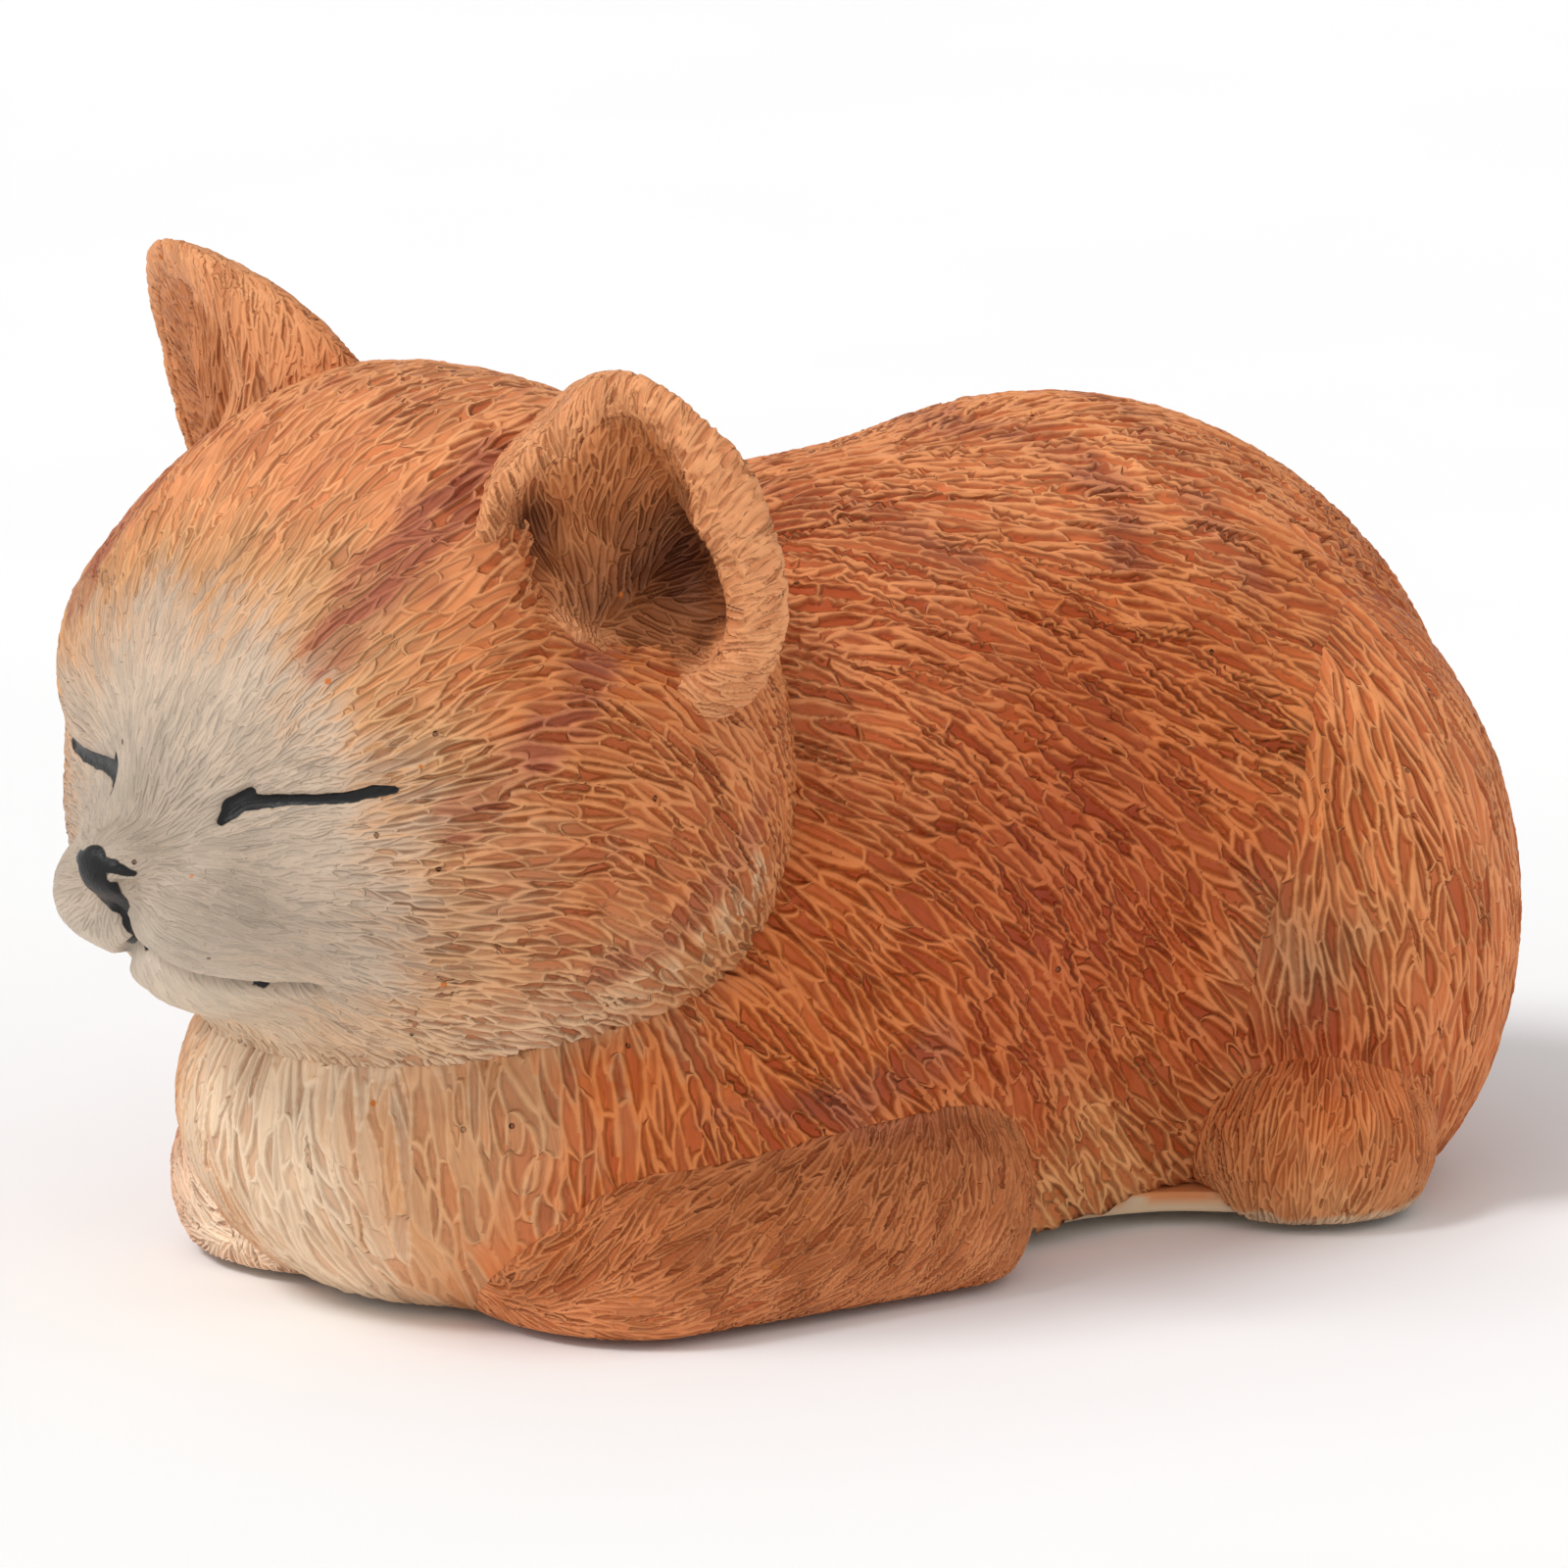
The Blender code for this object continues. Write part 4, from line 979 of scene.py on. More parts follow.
class Paints:
    """A material's nodes, made one after another and joined as they are made."""

    def __init__(self, name):
        self.material = bpy.data.materials.new(name)
        self.material.use_nodes = True
        self.nodes = self.material.node_tree.nodes
        self.links = self.material.node_tree.links
        self.shader = self.nodes["Principled BSDF"]
        self.shader.inputs["Specular IOR Level"].default_value = SHINE
        self.coords = self.nodes.new("ShaderNodeTexCoord").outputs["Object"]

    def join(self, value, socket):
        """Links a socket's output, or sets a plain value."""
        if isinstance(value, bpy.types.NodeSocket):
            self.links.new(value, socket)
        elif value is not None:
            socket.default_value = value

    def attribute(self, name, output="Fac"):
        """One of the mesh's attributes."""
        node = self.nodes.new("ShaderNodeAttribute")
        node.attribute_name = name
        return node.outputs[output]

    def noise(self, size, detail=3.0, rough=0.5, vector=None):
        """Noise whose grain is the given number of metres, or of units of its own vector."""
        node = self.nodes.new("ShaderNodeTexNoise")
        node.inputs["Scale"].default_value = 1.0 / size
        node.inputs["Detail"].default_value = detail
        node.inputs["Roughness"].default_value = rough
        self.links.new(vector or self.coords, node.inputs["Vector"])
        return node.outputs["Fac"]

    def dots(self, spacing):
        """Distance to the nearest of many scattered dots, in shares of their spacing."""
        node = self.nodes.new("ShaderNodeTexVoronoi")
        node.inputs["Scale"].default_value = 1.0 / spacing
        self.links.new(self.coords, node.inputs["Vector"])
        return node.outputs["Distance"], node.outputs["Color"]

    def ramp(self, value, low, high, first=0.0, last=1.0):
        """An S curve from first at low to last at high."""
        node = self.nodes.new("ShaderNodeMapRange")
        node.interpolation_type = "SMOOTHSTEP"
        for number, setting in enumerate((value, low, high, first, last)):
            self.join(setting, node.inputs[number])
        return node.outputs["Result"]

    def times(self, *values):
        """A product of plain values."""
        return self.sum("MULTIPLY", *values)

    def plus(self, *values):
        """A sum of plain values."""
        return self.sum("ADD", *values)

    def sum(self, how, *values):
        """One step of sums on plain values."""
        node = self.nodes.new("ShaderNodeMath")
        node.operation = how
        for value, socket in zip(values, node.inputs):
            self.join(value, socket)
        return node.outputs[0]

    def blend(self, share, first, second, how="MIX"):
        """Two colours mixed by a share."""
        node = self.nodes.new("ShaderNodeMix")
        node.data_type = "RGBA"
        node.blend_type = how
        self.join(share, node.inputs["Factor"])
        for colour, socket in ((first, node.inputs[6]), (second, node.inputs[7])):
            if not isinstance(colour, bpy.types.NodeSocket):
                colour = (*colour, 1.0)
            self.join(colour, socket)
        return node.outputs[2]

    def stretched(self, vector, scale):
        """A vector times a scale along each axis."""
        node = self.nodes.new("ShaderNodeVectorMath")
        node.operation = "MULTIPLY"
        self.links.new(vector, node.inputs[0])
        node.inputs[1].default_value = scale
        return node.outputs[0]

    def ridge_gap(self, one, two):
        """How far a pixel lies inside the first of two gouges, in half widths, as in the mesh."""
        ahead = self.times(self.sum("SUBTRACT", two["ahead"], one["ahead"]), SLIMNESS)
        beside = self.sum("SUBTRACT", two["beside"], one["beside"])
        apart = self.sum("SQRT", self.plus(self.times(ahead, ahead), self.times(beside, beside)))
        apart = self.sum("MAXIMUM", self.times(apart, 2.0), 0.01)
        return self.sum("DIVIDE", self.sum("SUBTRACT", two["far"], one["far"]), apart)

    def nearest_cut(self):
        """The nearest of the stored gouges: the gap to its ridge, its full depth in millimetres, its tone and
        where in it the pixel lies."""
        found = []
        for number in range(1, NEAR_GOUGES + 1):
            name = f"cut_{number}"
            place = self.attribute(name, "Color")
            parts = self.nodes.new("ShaderNodeSeparateColor")
            self.links.new(place, parts.inputs[0])
            ahead, beside, full = parts.outputs
            far = self.plus(self.times(ahead, ahead), self.times(beside, beside))
            found.append({"ahead": ahead, "beside": beside, "far": far, "place": place, "full": full,
                          "tone": self.attribute(name, "Alpha")})
        gap, best = None, found[0]
        for one in found:
            inside = None
            for two in found:
                if two is not one:
                    apart = self.ridge_gap(one, two)
                    inside = apart if inside is None else self.sum("MINIMUM", inside, apart)
            gap = inside if gap is None else self.sum("MAXIMUM", gap, inside)
            if one is not best:
                nearer = self.sum("LESS_THAN", one["far"], best["far"])
                kept = {key: self.choose(nearer, best[key], one[key]) for key in ("far", "full", "tone")}
                kept["place"] = self.blend(nearer, best["place"], one["place"])
                best = kept
        return gap, best["full"], best["tone"], best["place"]

    def choose(self, share, first, second):
        """Two plain values mixed by a share."""
        node = self.nodes.new("ShaderNodeMix")
        node.data_type = "FLOAT"
        for value, socket in zip((share, first, second), (node.inputs[0], node.inputs[2], node.inputs[3])):
            self.join(value, socket)
        return node.outputs[0]

    def bump(self, height, distance, strength, normal=None):
        """The surface tilted by a height, on top of an earlier tilt."""
        node = self.nodes.new("ShaderNodeBump")
        node.inputs["Strength"].default_value = strength
        node.inputs["Distance"].default_value = distance
        self.links.new(height, node.inputs["Height"])
        self.join(normal, node.inputs["Normal"])
        return node.outputs["Normal"]

    def done(self, colour, rough, normal):
        """The finished material."""
        self.join(colour, self.shader.inputs["Base Color"])
        self.join(rough, self.shader.inputs["Roughness"])
        self.join(normal, self.shader.inputs["Normal"])
        return self.material


def coat_material(name, ink=False):
    """Paint over carved fur. Each pixel finds its nearest gouge, so the ridges between them are sharp: the
    depth is D t^2 (3 - 2 t), with t the gap to the ridge over FULL_DEPTH_AT, where noise and the stroke's
    tone shift the gap a little. The coat's own colour is mottled, each stroke a little lighter or darker,
    its hollow darker with washed-in paint that is also painted shade, and the ridges dry-brushed with pale
    paint that is also a painted highlight, with stray specks of orange paint, pinholes of the casting, and
    hairlines along each stroke."""
    paint = Paints(name)
    coat = paint.attribute("coat", "Color")
    gap, full, tone, place = paint.nearest_cut()
    hair = paint.noise(1.0, 2.0, 0.6, paint.stretched(place, (0.9, 4.0, 90.0)))
    cloud = paint.noise(0.006, 3.0)
    grain = paint.noise(0.0011, 4.0, 0.6)
    worn = paint.noise(0.0026, 2.0)
    gap = paint.plus(gap, paint.ramp(worn, 0.3, 0.7, 0.12, -0.15))
    gap = paint.plus(gap, paint.ramp(tone, 0.0, 1.0, 0.03, -0.09))
    ragged = paint.plus(gap, paint.ramp(grain, 0.25, 0.75, 0.14, -0.14))
    near = paint.sum("MAXIMUM", paint.sum("MINIMUM", paint.sum("DIVIDE", gap, FULL_DEPTH_AT), 1.0), 0.0)
    hollow = paint.times(paint.times(near, near), paint.sum("SUBTRACT", 3.0, paint.times(near, 2.0)))
    depth = paint.times(full, hollow)
    carved = paint.ramp(full, 0.06, 0.34)
    value = paint.plus(paint.ramp(cloud, 0.25, 0.75, 0.93, 1.09), paint.ramp(tone, 0.0, 1.0, -0.07, 0.06))
    value = paint.plus(value, paint.ramp(hair, 0.3, 0.7, -0.06, 0.06))
    shade = paint.nodes.new("ShaderNodeCombineColor")
    for socket in shade.inputs[:3]:
        paint.links.new(value, socket)
    colour = paint.blend(1.0, coat, shade.outputs[0], "MULTIPLY")
    # Washed-in paint darkens each gouge's hollow, and is also painted shade there
    wash_and_shade = paint.times(paint.ramp(ragged, 0.14, 0.8), carved)
    wash_and_shade = paint.times(wash_and_shade, paint.ramp(tone, 0.9, 0.1, 0.65, 1.0))
    colour = paint.blend(wash_and_shade, colour, paint.blend(1.0, colour, HOLLOW_WASH_AND_SHADE, "MULTIPLY"))
    # Pale paint dry-brushed on the ridges, which is also a painted highlight
    crest = paint.ramp(ragged, 0.38, 0.04, 0.0, 0.55)
    worn_off = paint.times(paint.ramp(grain, 0.30, 0.6, 0.45, 1.0), paint.ramp(carved, 0.0, 1.0, 0.3, 1.0))
    crest = paint.times(crest, worn_off)
    pale_ridge_and_highlight = paint.blend(RIDGE_SHARE, paint.blend(0.6, coat, coat, "SCREEN"), RIDGE_PAINT_AND_HIGHLIGHT)
    colour = paint.blend(crest, colour, pale_ridge_and_highlight)
    far, kind = paint.dots(0.0030)
    speck = paint.times(paint.ramp(far, 0.08, 0.05), paint.ramp(kind, 0.54, 0.58))
    colour = paint.blend(speck, colour, SPECK_ORANGE)
    hole, luck = paint.dots(0.0024)
    pinhole = paint.times(paint.ramp(hole, 0.085, 0.05), paint.ramp(luck, 0.74, 0.77))
    colour = paint.blend(paint.times(pinhole, 0.8), colour, PINHOLE_BROWN)
    rough = paint.ramp(grain, 0.3, 0.7, 0.40, 0.56)
    if ink:
        edge = paint.plus(paint.attribute("ink"), paint.ramp(grain, 0.2, 0.8, -0.00006, 0.00006))
        inked = paint.ramp(edge, 0.00005, -0.00004)
        colour = paint.blend(inked, colour, settings().black)
        rough = paint.times(rough, paint.ramp(inked, 0.0, 1.0, 1.0, 0.72))
        depth = paint.times(depth, paint.ramp(inked, 0.0, 1.0, 1.0, 0.25))
    normal = paint.bump(grain, 0.00005, 0.6)
    normal = paint.bump(hair, 0.00005, 0.6, normal)
    normal = paint.bump(paint.times(depth, -1.0), MM, 1.0, normal)
    normal = paint.bump(paint.times(pinhole, -1.0), 0.00025, 0.9, normal)
    return paint.done(colour, rough, normal)


def furred(grid, flow, cell, length, width, depth, seed, wander=0.17, bare=None):
    """A grid with its fur carved in: each point moved in by its gouge's depth, less FUR_RISE of the full
    depth there. The bare share scales the relief and is nought where none is cut into the form."""
    grid = grid.copy()
    grid[0], grid[-1] = grid[0].mean(axis=0), grid[-1].mean(axis=0)
    normals = normals_of(grid)
    marks = carve(grid, lay_gouges(grid, normals, flow, cell, length, width, depth, seed, wander))
    lift = FUR_RISE * depth(grid.reshape(-1, 3)).reshape(grid.shape[:2])
    ripple = RIPPLE_HEIGHT * soft_noise(grid, RIPPLE_GRAIN, seed + 5)
    open_share = 1.0 if bare is None else bare(grid)
    return grid + normals * (open_share * (lift - marks["sunk"]) + ripple)[..., None], marks


def furred_mesh(name, grid, marks, coat, more=None):
    """A carved grid's mesh, with its paint on the points and its gouges on the corners."""
    attributes = {"coat": np.clip(coat, 0.0, 1.0)}
    attributes.update(more or {})
    return make_mesh(name, grid, attributes, marks["cuts"])


# Pieces


def slab_loop(count):
    """The slab's outline, as a closed cubic through its chosen places, at even turns."""
    half = [vec(*place) for place in SLAB_OUTLINE]
    ring = np.array(half + [place * vec(-1.0, 1.0) for place in half[-2:0:-1]])
    share = (np.arange(8 * len(ring)) / 8.0)[:, None]
    index = share[:, 0].astype(int)
    t = share - index[:, None]
    a, b, c, d = (ring[(index + shift) % len(ring)] for shift in (-1, 0, 1, 2))
    loop = cubic(a, b, c, d, t)
    gap = loop - vec(*SLAB_MIDDLE)
    angle = np.arctan2(gap[:, 1], gap[:, 0])
    order = np.argsort(angle)
    angle, radius = angle[order], np.linalg.norm(gap, axis=1)[order]
    turn = -math.pi + np.arange(count) * 2.0 * math.pi / count
    angle = np.concatenate([[angle[-1] - 2.0 * math.pi], angle, [angle[0] + 2.0 * math.pi]])
    radius = np.concatenate([[radius[-1]], radius, [radius[0]]])
    return turn, np.interp(turn, angle, radius)


def stand(grid):
    """Lays what reaches below the ground flat on it, and what reaches into the slab flat above it."""
    turn, edge = slab_loop(720)
    gap = grid[..., :2] - vec(*SLAB_MIDDLE)
    angle = np.arctan2(gap[..., 1], gap[..., 0])
    inside = np.interp(angle, turn, edge) + SLAB_MARGIN - np.linalg.norm(gap, axis=-1)
    floor = GROUND + (SLAB_TOP - GROUND) * step(-0.5, 0.1, inside)
    lifted = grid.copy()
    lifted[..., 2] = -blend(-grid[..., 2], -floor, GROUND_FILLET)
    return lifted


def line_on(face_plane, line, side=1.0, rise=0.0, droop=0.0):
    """Gap to one of the face's lines, given as places with half widths."""
    path, widths = line
    places = [vec(side * across, up + rise - droop * (across - 14.0)) for across, up in path]
    return line_gap(face_plane, places, widths)


def flat_turns(path):
    """A path of turn and tilt, with each turn shortened by its tilt's cosine."""
    return tuple((turn * math.cos(math.radians(tilt)), tilt) for turn, tilt in path)


def face_marks(grid):
    """Gaps in millimetres to the black paint, the mouth's crease and the nostrils."""
    face = on_face(grid)
    far = np.linalg.norm(face, axis=-1)
    tilt = np.degrees(np.arcsin(np.clip(face[..., 2] / far, -1.0, 1.0)))
    turn = np.degrees(np.arctan2(face[..., 0], -face[..., 1])) * np.cos(np.radians(tilt))
    turned = np.stack([turn, tilt], axis=-1)
    plane = face[..., ::2]
    per_degree = far * math.pi / 180.0
    eye_lines, mouth_lines = [], []
    for name, side in SIDES:
        for path, widths in (EYE_INNER, EYE_LINE):
            line = (flat_turns(path), widths)
            gap = line_on(turned, line, side, EYE_RISE[name], EYE_DROOP[name]) * per_degree
            eye_lines.append(gap - EYE_WIDENING[name])
        path, widths = MOUTH_PAINT
        mouth_lines.append(line_on(turned, (flat_turns(path), widths), side) * per_degree)
    mouth_lines.append(line_on(turned, (flat_turns(MOUTH_MARK[0]), MOUTH_MARK[1])) * per_degree)
    eyes = np.minimum.reduce(eye_lines)
    behind = 50.0 * step(-20.0, -17.0, face[..., 1])
    nose = np.minimum(line_on(plane, NOSE_WINGS), line_on(plane, NOSE_MIDDLE)) + behind
    lip = line_on(plane, PHILTRUM) + behind
    nostrils = np.minimum(line_on(plane, NOSTRIL), line_on(plane * vec(-1.0, 1.0), NOSTRIL)) + behind
    crease = line_gap(np.stack([np.abs(turn), tilt], axis=-1),
                      [vec(*place) for place in flat_turns(MOUTH_CREASE)]) * per_degree
    ink = np.minimum.reduce([eyes, *mouth_lines, nose, lip])
    return {"ink": ink, "eyes": eyes, "nose": nose, "nostrils": nostrils, "lip": lip, "crease": crease}


def off_face(places):
    """Nought on the face, a half on the forehead, one on cheeks, crown and the back of the head."""
    local = places - vec(*HEAD_CENTRE)
    brow = 1.0 - 0.5 * step(2.0, 10.0, local[..., 2]) * step(-3.0, -11.0, local[..., 1])
    return brow * step(24.0, 62.0, off_middle(places))


def make_head():
    """The skull's distance field, swept by rays round an axis that ends in the nose."""
    form = meeting(skull_form, [(torso_form, NECK_FILLET)])
    grid = skin(form, HEAD_CENTRE, HEAD_CENTRE, *BODY_GRID, pole=(0.08, -0.97, -0.16), crowding=1.25)
    lines = face_marks(grid)
    clear = step(0.1, 1.1, np.minimum(lines["ink"], lines["crease"]))
    carved, marks = furred(grid, head_flow, growing(HEAD_CELL, lambda share: step(0.20, 0.50, share)),
                           growing(HEAD_LENGTH, off_face), growing(HEAD_WIDTH, off_face),
                           growing(HEAD_DEPTH, off_face), settings().seed + 4, HEAD_WANDER)
    normals = normals_of(grid)
    dent = EYE_CUT * step(0.30, -0.30, lines["eyes"])
    dent = dent + MOUTH_CUT * np.exp(-(lines["crease"] / MOUTH_CUT_WIDTH) ** 2)
    dent = dent + LIP_CUT * step(0.30, -0.25, lines["lip"])
    dent = dent + NOSTRIL_CUT * step(0.25, -0.25, lines["nostrils"])
    dent = dent - NOSE_RISE * step(0.2, -0.3, lines["nose"])
    grid = grid + (carved - grid) * clear[..., None] - normals * dent[..., None]
    # The paint is darkened along the mouth's crease as painted shade in it
    coat = paint_head(grid, marks["tone"]) * (1.0 - 0.42 * np.exp(-(lines["crease"] / 0.40) ** 2))[..., None]
    mesh = furred_mesh("sleeping_head", grid, marks, coat, {"ink": lines["ink"][..., None] * MM})
    add_piece("sleeping_head", mesh, coat_material("painted face", ink=True), "face_coat", "head")


def body_paint():
    """The one material that torso, limbs and tail share."""
    return bpy.data.materials.get("painted coat") or coat_material("painted coat")


def make_limb(name, form, neighbours, centre, pole, size, flow, paint, node, seed, fur, tail=None,
              relief=1.0):
    """One furred limb: its met distance field swept by rays, carved, painted and stood on the ground. The
    relief is the share of the fur's depth that is cut into the mesh, and the rest is in the material."""
    if name.startswith("right"):
        form, neighbours = on_right(form), [(on_right(other), width) for other, width in neighbours]
    open_share = open_skin(form, neighbours)
    grid = skin(meeting(form, neighbours), tail or centre, centre, *size, pole=pole)
    grid, marks = furred(grid, flow, *alike(fur), settings().seed + seed,
                         bare=lambda places: relief * open_share(places))
    grid = stand(grid)
    mesh = furred_mesh(name, grid, marks, paint(grid, marks["tone"]))
    add_piece(name, mesh, body_paint(), "orange_coat", node)


def torso_neighbours():
    """The forms that the torso meets, with the fillets' widths."""
    return [(haunch_form, THIGH_FILLET), (on_right(haunch_form), THIGH_FILLET),
            (hind_foot_form, BACK_PAW_FILLET), (on_right(hind_foot_form), BACK_PAW_FILLET),
            (left_foreleg_form, FRONT_LEG_FILLET), (on_right(right_foreleg_form), FRONT_LEG_FILLET),
            (tail_form, TAIL_FILLET)]


def chest_depth(places):
    """The gouges' full depth, but half as deep on the pale chest."""
    chest = step(-40.0, -50.0, places[..., 1]) * step(20.0, 12.0, np.abs(places[..., 0]))
    return settings().gouge_depth * (1.0 - 0.5 * chest)


def make_torso():
    """The torso's distance field, met by the limbs' fields, swept by rays from rump to chest."""
    tints = settings()
    neighbours = torso_neighbours()
    grid = skin(meeting(torso_form, neighbours), RUMP[0], TORSO_FRONT, *BODY_GRID, thinning=0.3)
    grid, marks = furred(grid, torso_flow, same(tints.gouge_spacing), same(tints.gouge_length),
                         same(tints.gouge_width), chest_depth, tints.seed,
                         bare=open_skin(torso_form, neighbours))
    grid = stand(grid)
    mesh = furred_mesh("furred_torso", grid, marks, paint_body(grid, marks["tone"]))
    add_piece("furred_torso", mesh, body_paint(), "orange_coat", "torso")


def on_side(place, sign):
    """A place of the left side, put on the side of the sign."""
    return (place[0] * sign, place[1], place[2])


def make_haunches():
    """Both thighs: ellipsoids that meet the torso and the back paws."""
    for name, sign in SIDES:
        make_limb(f"{name}_thigh", haunch_form, [(torso_form, THIGH_FILLET), (hind_foot_form, HEEL_FILLET)],
                  on_side(HAUNCH[0], sign), (sign, 0.0, 0.3), THIGH_GRID, haunch_flow, paint_body,
                  f"{name}_haunch", 20 + int(sign), THIGH_FUR, relief=THIGH_RELIEF)


def make_hind_feet():
    """Both back paws: ellipsoids that meet the thighs and the torso."""
    for name, sign in SIDES:
        make_limb(f"{name}_back_paw", hind_foot_form,
                  [(haunch_form, HEEL_FILLET), (torso_form, BACK_PAW_FILLET)], on_side(HIND_FOOT[0], sign),
                  (0.3 * sign, -0.3, 1.0), BACK_PAW_GRID, hind_foot_flow, paint_hind_foot,
                  f"{name}_hind_foot", 30 + int(sign), BACK_PAW_FUR)


def make_forelegs():
    """Both front legs, swept by rays from the line between elbow and paw."""
    for name, sign in SIDES:
        form = left_foreleg_form if name == "left" else right_foreleg_form
        make_limb(f"{name}_front_leg", form, [(torso_form, FRONT_LEG_FILLET)], on_side(PAWS[name], sign),
                  None, FRONT_LEG_GRID, foreleg_flow, paint_foreleg, f"{name}_foreleg", 40 + int(sign),
                  FRONT_LEG_FUR, tail=on_side(ELBOW_AT, sign))


def tail_line(count):
    """The tail's middle line as a cubic through its chosen places, with the radius at each place."""
    places = [vec(*place) for place in TAIL_PATH]
    ends = np.array([2.0 * places[0] - places[1]] + places + [2.0 * places[-1] - places[-2]])
    share = np.linspace(0.0, 1.0, count)
    along = share * (len(places) - 1)
    index = np.minimum(along.astype(int), len(places) - 2)
    t = (along - index)[:, None]
    a, b, c, d = (ends[index + shift] for shift in range(4))
    middle = cubic(a, b, c, d, t)
    radius = TAIL_RADII[0] + (TAIL_RADII[1] - TAIL_RADII[0]) * share
    past = np.clip((share - TAIL_ROUNDING) / (1.0 - TAIL_ROUNDING), 0.0, 1.0)
    return middle, radius * np.sqrt(np.maximum(1.0 - past ** 2, 0.0))


def tail_form(points):
    """Distance to the tail: the least of its tapered stretches."""
    stretches = 12
    middle, radius = tail_line(stretches + 1)
    best = np.full(points.shape[:-1], 1e3)
    for index in range(stretches):
        stretch = round_cone(points, middle[index], middle[index + 1], radius[index], radius[index + 1])
        best = np.minimum(best, stretch)
    return best


def make_tail():
    """A circle of the tail's radius carried along its middle line, closed by a round tip."""
    rings, columns = TAIL_GRID
    middle, radius = tail_line(rings)
    radius = radius * np.minimum(1.0, np.sqrt(np.clip(np.arange(rings) / 6.0, 0.0, 1.0)))
    ahead = unit(np.gradient(middle, axis=0))
    side = unit(np.cross(ahead, vec(0.0, 0.0, 1.0)))
    up = np.cross(side, ahead)
    turn = (np.arange(columns) * 2.0 * math.pi / columns)[None, :, None]
    spoke = np.cos(turn) * side[:, None] + np.sin(turn) * up[:, None]
    grid = middle[:, None] + radius[:, None, None] * spoke
    flow_places, flow_ways = middle[::10], ahead[::10]

    def flow(places):
        gaps = np.linalg.norm(places[:, None] - flow_places[None], axis=-1)
        return flow_ways[np.argmin(gaps, axis=1)] + vec(0.0, 0.0, -0.25)

    grid, marks = furred(grid, flow, *alike(TAIL_FUR), settings().seed + 50)
    grid = stand(grid)
    mesh = furred_mesh("curled_tail", grid, marks, paint_tail(grid, marks["tone"]))
    add_piece("curled_tail", mesh, body_paint(), "orange_coat", "tail")


def ear_axes(sign):
    """The ear's middle and its axes: outward across the cup, up to its tip and out of its mouth."""
    facing = unit(vec(*EAR_FACING))
    rise = vec(*EAR_RISE) - facing * (vec(*EAR_RISE) @ facing)
    rise = unit(rise)
    turn = vec(sign, 1.0, 1.0)
    across = np.cross(rise, facing)
    return (vec(*HEAD_CENTRE) + vec(*EAR_MIDDLE)) * turn, across * turn, rise * turn, facing * turn


def round_the_cup(values, angle):
    """The smoothest round through values at even turns: cosines and sines up to half their number."""
    total = np.full_like(angle, sum(values) / len(values))
    for wave in range(1, len(values) // 2 + 1):
        turns = [2.0 * math.pi * wave * number / len(values) for number in range(len(values))]
        weight = (1.0 if 2 * wave == len(values) else 2.0) / len(values)
        cosine = weight * sum(value * math.cos(turn) for value, turn in zip(values, turns))
        sine = weight * sum(value * math.sin(turn) for value, turn in zip(values, turns))
        total = total + cosine * np.cos(wave * angle) + sine * np.sin(wave * angle)
    return total


def ear_surface(name, sign, rings, columns):
    """The cup: from the middle of the hollow out over the round rim and in to the middle of the back.
    Returns the grid, where each point lies across and up the cup, and how far along from the hollow."""
    along = np.linspace(0.0, 1.0, rings + 1)[:, None] + np.zeros((1, columns))
    angle = (np.arange(columns) * 2.0 * math.pi / columns)[None, :] + 0.0 * along
    edge = round_the_cup(EAR_REACHES[name], angle)
    rim = round_the_cup(EAR_RIMS[name], angle)
    half_rim = 0.5 * rim
    inner = np.clip(along / EAR_RIM_START, 0.0, 1.0)
    over = np.clip((along - EAR_RIM_START) / (EAR_RIM_END - EAR_RIM_START), 0.0, 1.0) * math.pi
    behind = np.clip((along - EAR_RIM_END) / (1.0 - EAR_RIM_END), 0.0, 1.0) * 0.5 * math.pi
    in_hollow = along < EAR_RIM_START
    on_rim = along < EAR_RIM_END
    radius = np.where(in_hollow, (edge - rim) * inner,
                      np.where(on_rim, edge - half_rim - half_rim * np.cos(over), edge * np.cos(behind)))
    out = np.where(in_hollow, -EAR_HOLLOW[name] * (1.0 - inner ** 2) ** 1.3,
                   np.where(on_rim, EAR_RIM_HEIGHT[name] * np.sin(over), -EAR_BACK * np.sin(behind)))
    out = out + round_the_cup(EAR_LIFTS[name], angle) * (radius / edge) ** 2
    plane = np.stack([radius * np.sin(angle), radius * np.cos(angle)], axis=-1)
    within = step(EAR_RIM_START + 0.06, EAR_RIM_START - 0.06, along)
    for place, rise, spread in EAR_DENTS:
        gap = (plane - vec(*place)) / vec(*spread)
        out = out + within * rise * np.exp(-0.5 * dot(gap, gap))
    middle, across, up, facing = ear_axes(sign)
    rounding = np.where(on_rim, 0.0, np.sin(behind))
    sideways = plane[..., :1] - EAR_BACK_INWARD * rounding[..., None]
    upward = plane[..., 1:] - EAR_BACK_DOWN * rounding[..., None]
    grid = middle + sideways * across + upward * up + out[..., None] * facing
    return grid, plane, along


